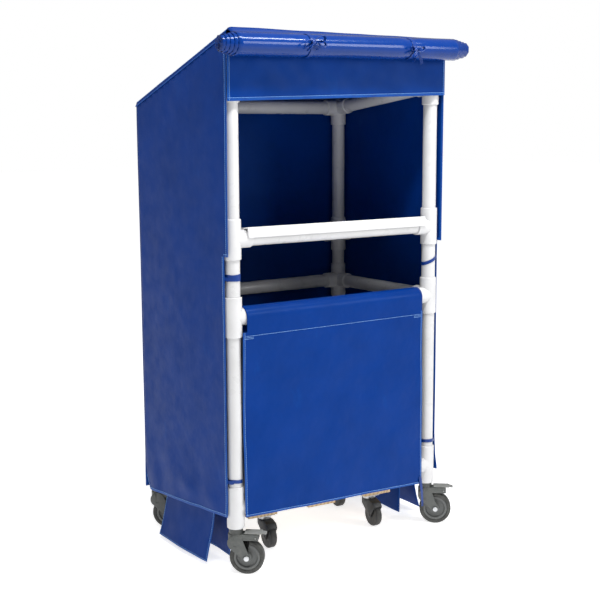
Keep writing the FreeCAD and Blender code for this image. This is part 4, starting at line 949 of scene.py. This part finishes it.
outer_low, outer_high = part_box("outer_skirts")
inner_low, inner_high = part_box("inner_skirts")
OUTER_TOP = 0.378
OUTER_BOTTOM = 0.409
INNER_AT = 0.327
SKIRT_STEP = 0.010
SKIRT_HEM = 0.004
SKIRT_PROUD = 0.0011

for side, label in ((-1, "left"), (1, "right")):
    def outer_spot(along, z, out):
        up = (z - outer_low.z) / (outer_high.z - outer_low.z)
        y = along * -1 if side < 0 else along
        kick = OUTER_TOP + (OUTER_BOTTOM - OUTER_TOP) * (1 - up) ** 1.6
        curl = 0.006 * (1 - up) * math.sin(math.pi * (y - outer_low.y) / (outer_high.y - outer_low.y))
        folds = 0.004 * (1 - up) * ripple(y, z, 0.08, 2.5 * side)
        return Vector((middle_x + side * (kick + curl + folds + out), y, z))

    def inner_spot(along, z, out):
        up = (z - inner_low.z) / (inner_high.z - inner_low.z)
        y = along * -1 if side < 0 else along
        folds = 0.004 * (1 - up) * math.sin(y * 22 + side) + 0.002 * ripple(y, z, 0.08, 6.5 * side)
        return Vector((middle_x + side * (INNER_AT + folds + out), y, z))

    for kind, low, high, spot, node in (("outer", outer_low, outer_high, outer_spot, "outer_skirts"),
                                        ("inner", inner_low, inner_high, inner_spot, "inner_skirts")):
        start, end = (low.y, high.y) if side > 0 else (-high.y, -low.y)
        corners = [(start, low.z), (end, low.z), (end, high.z), (start, high.z)]
        skirt = hang(kind + "_skirt_" + label, cut_cloth(corners, SKIRT_STEP), spot)
        if side < 0:
            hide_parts(node)
        edges = [(corners[0], corners[1]), (corners[1], corners[2]), (corners[3], corners[0])]
        sewn = trim(kind + "_skirt_" + label, spot, edges, SKIRT_HEM, SKIRT_PROUD)


# ---------------------------------------------------------------- outer casters
# Grey nylon forks on dark grey stem sleeves, with rubber tyres on grey hubs, zinc axle bolts
# and lighter grey brake pedals.  Edges are moulded round, and the rubber is dusty.

CASTER_GREY = (0.078, 0.084, 0.080)
CASTER_DUST = (0.125, 0.128, 0.118)
STEM_GREY = (0.058, 0.062, 0.059)
HUB_GREY = (0.105, 0.110, 0.108)
TYRE_GREY = (0.036, 0.037, 0.034)
PEDAL_GREY = (0.22, 0.225, 0.215)
ZINC = (0.56, 0.57, 0.58)


def moulded(name, colour, dust, roughness, grain):
    material = finish(name, colour, roughness, Specular_IOR_Level=0.5)
    mottle(material, pattern(material, NOISE, 60, Detail=6.0, Roughness=0.65), dust, 0.5, 0.85)
    relief(material, pattern(material, NOISE, grain, Detail=3.0), 0.35, 0.0003)
    roughen(material, pattern(material, NOISE, 90, Detail=5.0), roughness - 0.08, roughness + 0.12)
    return material


def metal(name, colour, roughness, brushed=(1, 1, 1)):
    material = finish(name, colour, roughness, Metallic=1.0)
    mottle(material, pattern(material, NOISE, 130, Detail=6.0), tuple(c * 0.55 for c in colour), 0.5, 0.85)
    relief(material, pattern(material, NOISE, 1800, brushed, Detail=3.0), 0.25, 0.0002)
    roughen(material, pattern(material, NOISE, 200, Detail=5.0), roughness - 0.08, roughness + 0.15)
    return material


fork_nylon = moulded("fork_nylon", CASTER_GREY, CASTER_DUST, 0.42, 1500)
hub_nylon = moulded("hub_nylon", HUB_GREY, CASTER_DUST, 0.46, 1500)
tyre_rubber = moulded("tyre_rubber", TYRE_GREY, CASTER_DUST, 0.62, 900)
pedal_nylon = moulded("pedal_nylon", PEDAL_GREY, CASTER_DUST, 0.4, 1500)
zinc_plate = metal("zinc_plate", ZINC, 0.34)
sleeve_plastic = moulded("sleeve_plastic", STEM_GREY, CASTER_DUST, 0.42, 1200)

paint(sleeve_plastic, "caster_stems")

for corner in ("front_left", "front_right", "back_left", "back_right"):
    for part, ease, material, body, slot in (
            ("caster_fork_", 0.0011, fork_nylon, "caster_", "caster_moulding"),
            ("caster_axle_", 0.0006, zinc_plate, "wheel_", "steel"),
            ("caster_hub_", 0.0006, hub_nylon, "wheel_", "wheel_centre"),
            ("caster_tyre_", 0.0012, tyre_rubber, "wheel_", "tread"),
            ("brake_pedal_", 0.0008, pedal_nylon, "pedal_", "pedal")):
        node = part + corner
        body = next(name for name, members in frame["record"]["behaviour"]["bodies"].items()
                    if node in members)
        piece = show(node.replace("caster_", "rounded_").replace("brake_", "rounded_"),
                     eased_copy(node, ease), material, body)
        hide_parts(node)


# ---------------------------------------------------------------- dolly and bin
# The bin stands on bolted pine runners, with small black casters under them that turn on zinc
# raceways.  The bin is of grey sheet with slightly rounded edges.

PINE = (0.58, 0.42, 0.25)
PINE_LATE = (0.42, 0.27, 0.14)
BLACK_PAINT = (0.018, 0.019, 0.020)
BLACK_RUBBER = (0.022, 0.021, 0.020)
BIN_GREY = (0.30, 0.31, 0.32)

pine = finish("pine", PINE, 0.62)
grain = pattern(pine, WAVE, 7, (3.2, 0.5, 9), Distortion=6.0, Detail=4.0)
mottle(pine, grain, PINE_LATE, 0.45, 0.95)
mottle(pine, pattern(pine, NOISE, 35, (1, 0.2, 1), Detail=8.0), (0.66, 0.52, 0.34), 0.5, 0.9)
relief(pine, pattern(pine, NOISE, 260, (1, 0.06, 1), Detail=6.0), 0.4, 0.0006)
black_steel = metal("black_steel", BLACK_PAINT, 0.4)
shader_of(black_steel).inputs["Metallic"].default_value = 0.0
black_rubber = moulded("black_rubber", BLACK_RUBBER, (0.05, 0.048, 0.044), 0.5, 900)
bin_sheet = moulded("bin_sheet", BIN_GREY, (0.24, 0.245, 0.25), 0.5, 700)

for node, ease, material, slot in (
        ("dolly_runners", 0.0016, pine, "board"), ("runner_bolts", 0.0006, zinc_plate, "zinc"),
        ("dolly_caster_plates", 0.0006, zinc_plate, "zinc"), ("bin_walls", 0.0012, bin_sheet, "bin_sheet"),
        ("bin_floor", 0.0010, bin_sheet, "bin_sheet")):
    piece = show(node + "_eased", eased_copy(node, ease), material, "frame")
    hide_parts(node)

for corner in ("front_left", "front_right", "back_left", "back_right"):
    for part, ease, material, body, slot in (
            ("dolly_fork_", 0.0008, black_steel, "dolly_caster_", "black_steel"),
            ("dolly_wheel_", 0.0014, black_rubber, "dolly_wheel_", "black_rubber")):
        node = part + corner
        piece = show(node + "_eased", eased_copy(node, ease), material, body + corner)
        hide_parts(node)


# ---------------------------------------------------------------- floor, light and camera
# A plain pale floor, soft even studio light that is stronger from the front right, and a
# camera at standing height to the front left.

FLOOR_SIZE = 30
FLOOR_GLOW = 0.72
STUDIO_GLOW = 0.36

floor_bm = bmesh.new()
bmesh.ops.create_grid(floor_bm, x_segments=1, y_segments=1, size=FLOOR_SIZE)
floor_mesh = bpy.data.meshes.new("floor")
floor_bm.to_mesh(floor_mesh)
floor_bm.free()
floor = bpy.data.objects.new("floor", floor_mesh)
bpy.context.scene.collection.objects.link(floor)
floor_white = finish("floor_white", (0.94, 0.94, 0.94), 0.9, Specular_IOR_Level=0.1,
                     Emission_Color=(1, 1, 1, 1), Emission_Strength=FLOOR_GLOW)
relief(floor_white, pattern(floor_white, NOISE, 30, Detail=2.0), 0.05, 0.001)
floor_mesh.materials.append(floor_white)

world = bpy.data.worlds.new("studio")
bpy.context.scene.world = world
world.use_nodes = True
backdrop = world.node_tree.nodes["Background"]
backdrop.inputs["Color"].default_value = (1, 1, 1, 1)
# The studio looks plain white, and lights the trolley less than a white sky would.
seen = world.node_tree.nodes.new("ShaderNodeLightPath")
glow = world.node_tree.nodes.new("ShaderNodeMapRange")
glow.inputs["To Min"].default_value = STUDIO_GLOW
glow.inputs["To Max"].default_value = 1.0
world.node_tree.links.new(seen.outputs["Is Camera Ray"], glow.inputs["Value"])
world.node_tree.links.new(glow.outputs["Result"], backdrop.inputs["Strength"])


def soft_light(name, place, aim, size, power, tint=(1, 1, 1)):
    light = bpy.data.lights.new(name, "AREA")
    light.shape = "RECTANGLE"
    light.size = size[0]
    light.size_y = size[1]
    light.energy = power
    light.color = tint
    lamp = bpy.data.objects.new(name, light)
    bpy.context.scene.collection.objects.link(lamp)
    lamp.location = place
    lamp.rotation_mode = "QUATERNION"
    lamp.rotation_quaternion = (Vector(aim) - Vector(place)).to_track_quat("-Z", "Y")
    return lamp


soft_light("key", (2.2, -3.2, 2.2), (0, 0, 0.8), (1.2, 1.2), 44)
soft_light("overhead_strip", (-0.1, -1.1, 2.9), (0, -0.26, 1.5), (2.4, 0.22), 70)

CAMERA_PLACE = Vector((-1.9619, -2.8031, 1.2561))
CAMERA_TURN = math.radians(35.0955)
CAMERA_DIP = math.radians(8.6676)
CAMERA_ROLL = math.radians(-0.256)
CAMERA_LENS = 66.88

lens = bpy.data.cameras.new("camera")
lens.lens = CAMERA_LENS
lens.sensor_width = 36
camera = bpy.data.objects.new("camera", lens)
bpy.context.scene.collection.objects.link(camera)
camera.location = CAMERA_PLACE
upright = Matrix.Rotation(-CAMERA_TURN, 4, "Z") @ Matrix.Rotation(math.pi / 2 - CAMERA_DIP, 4, "X")
camera.rotation_euler = (upright @ Matrix.Rotation(CAMERA_ROLL, 4, "Z")).to_euler()
bpy.context.scene.camera = camera
bpy.context.scene.view_settings.view_transform = "Standard"
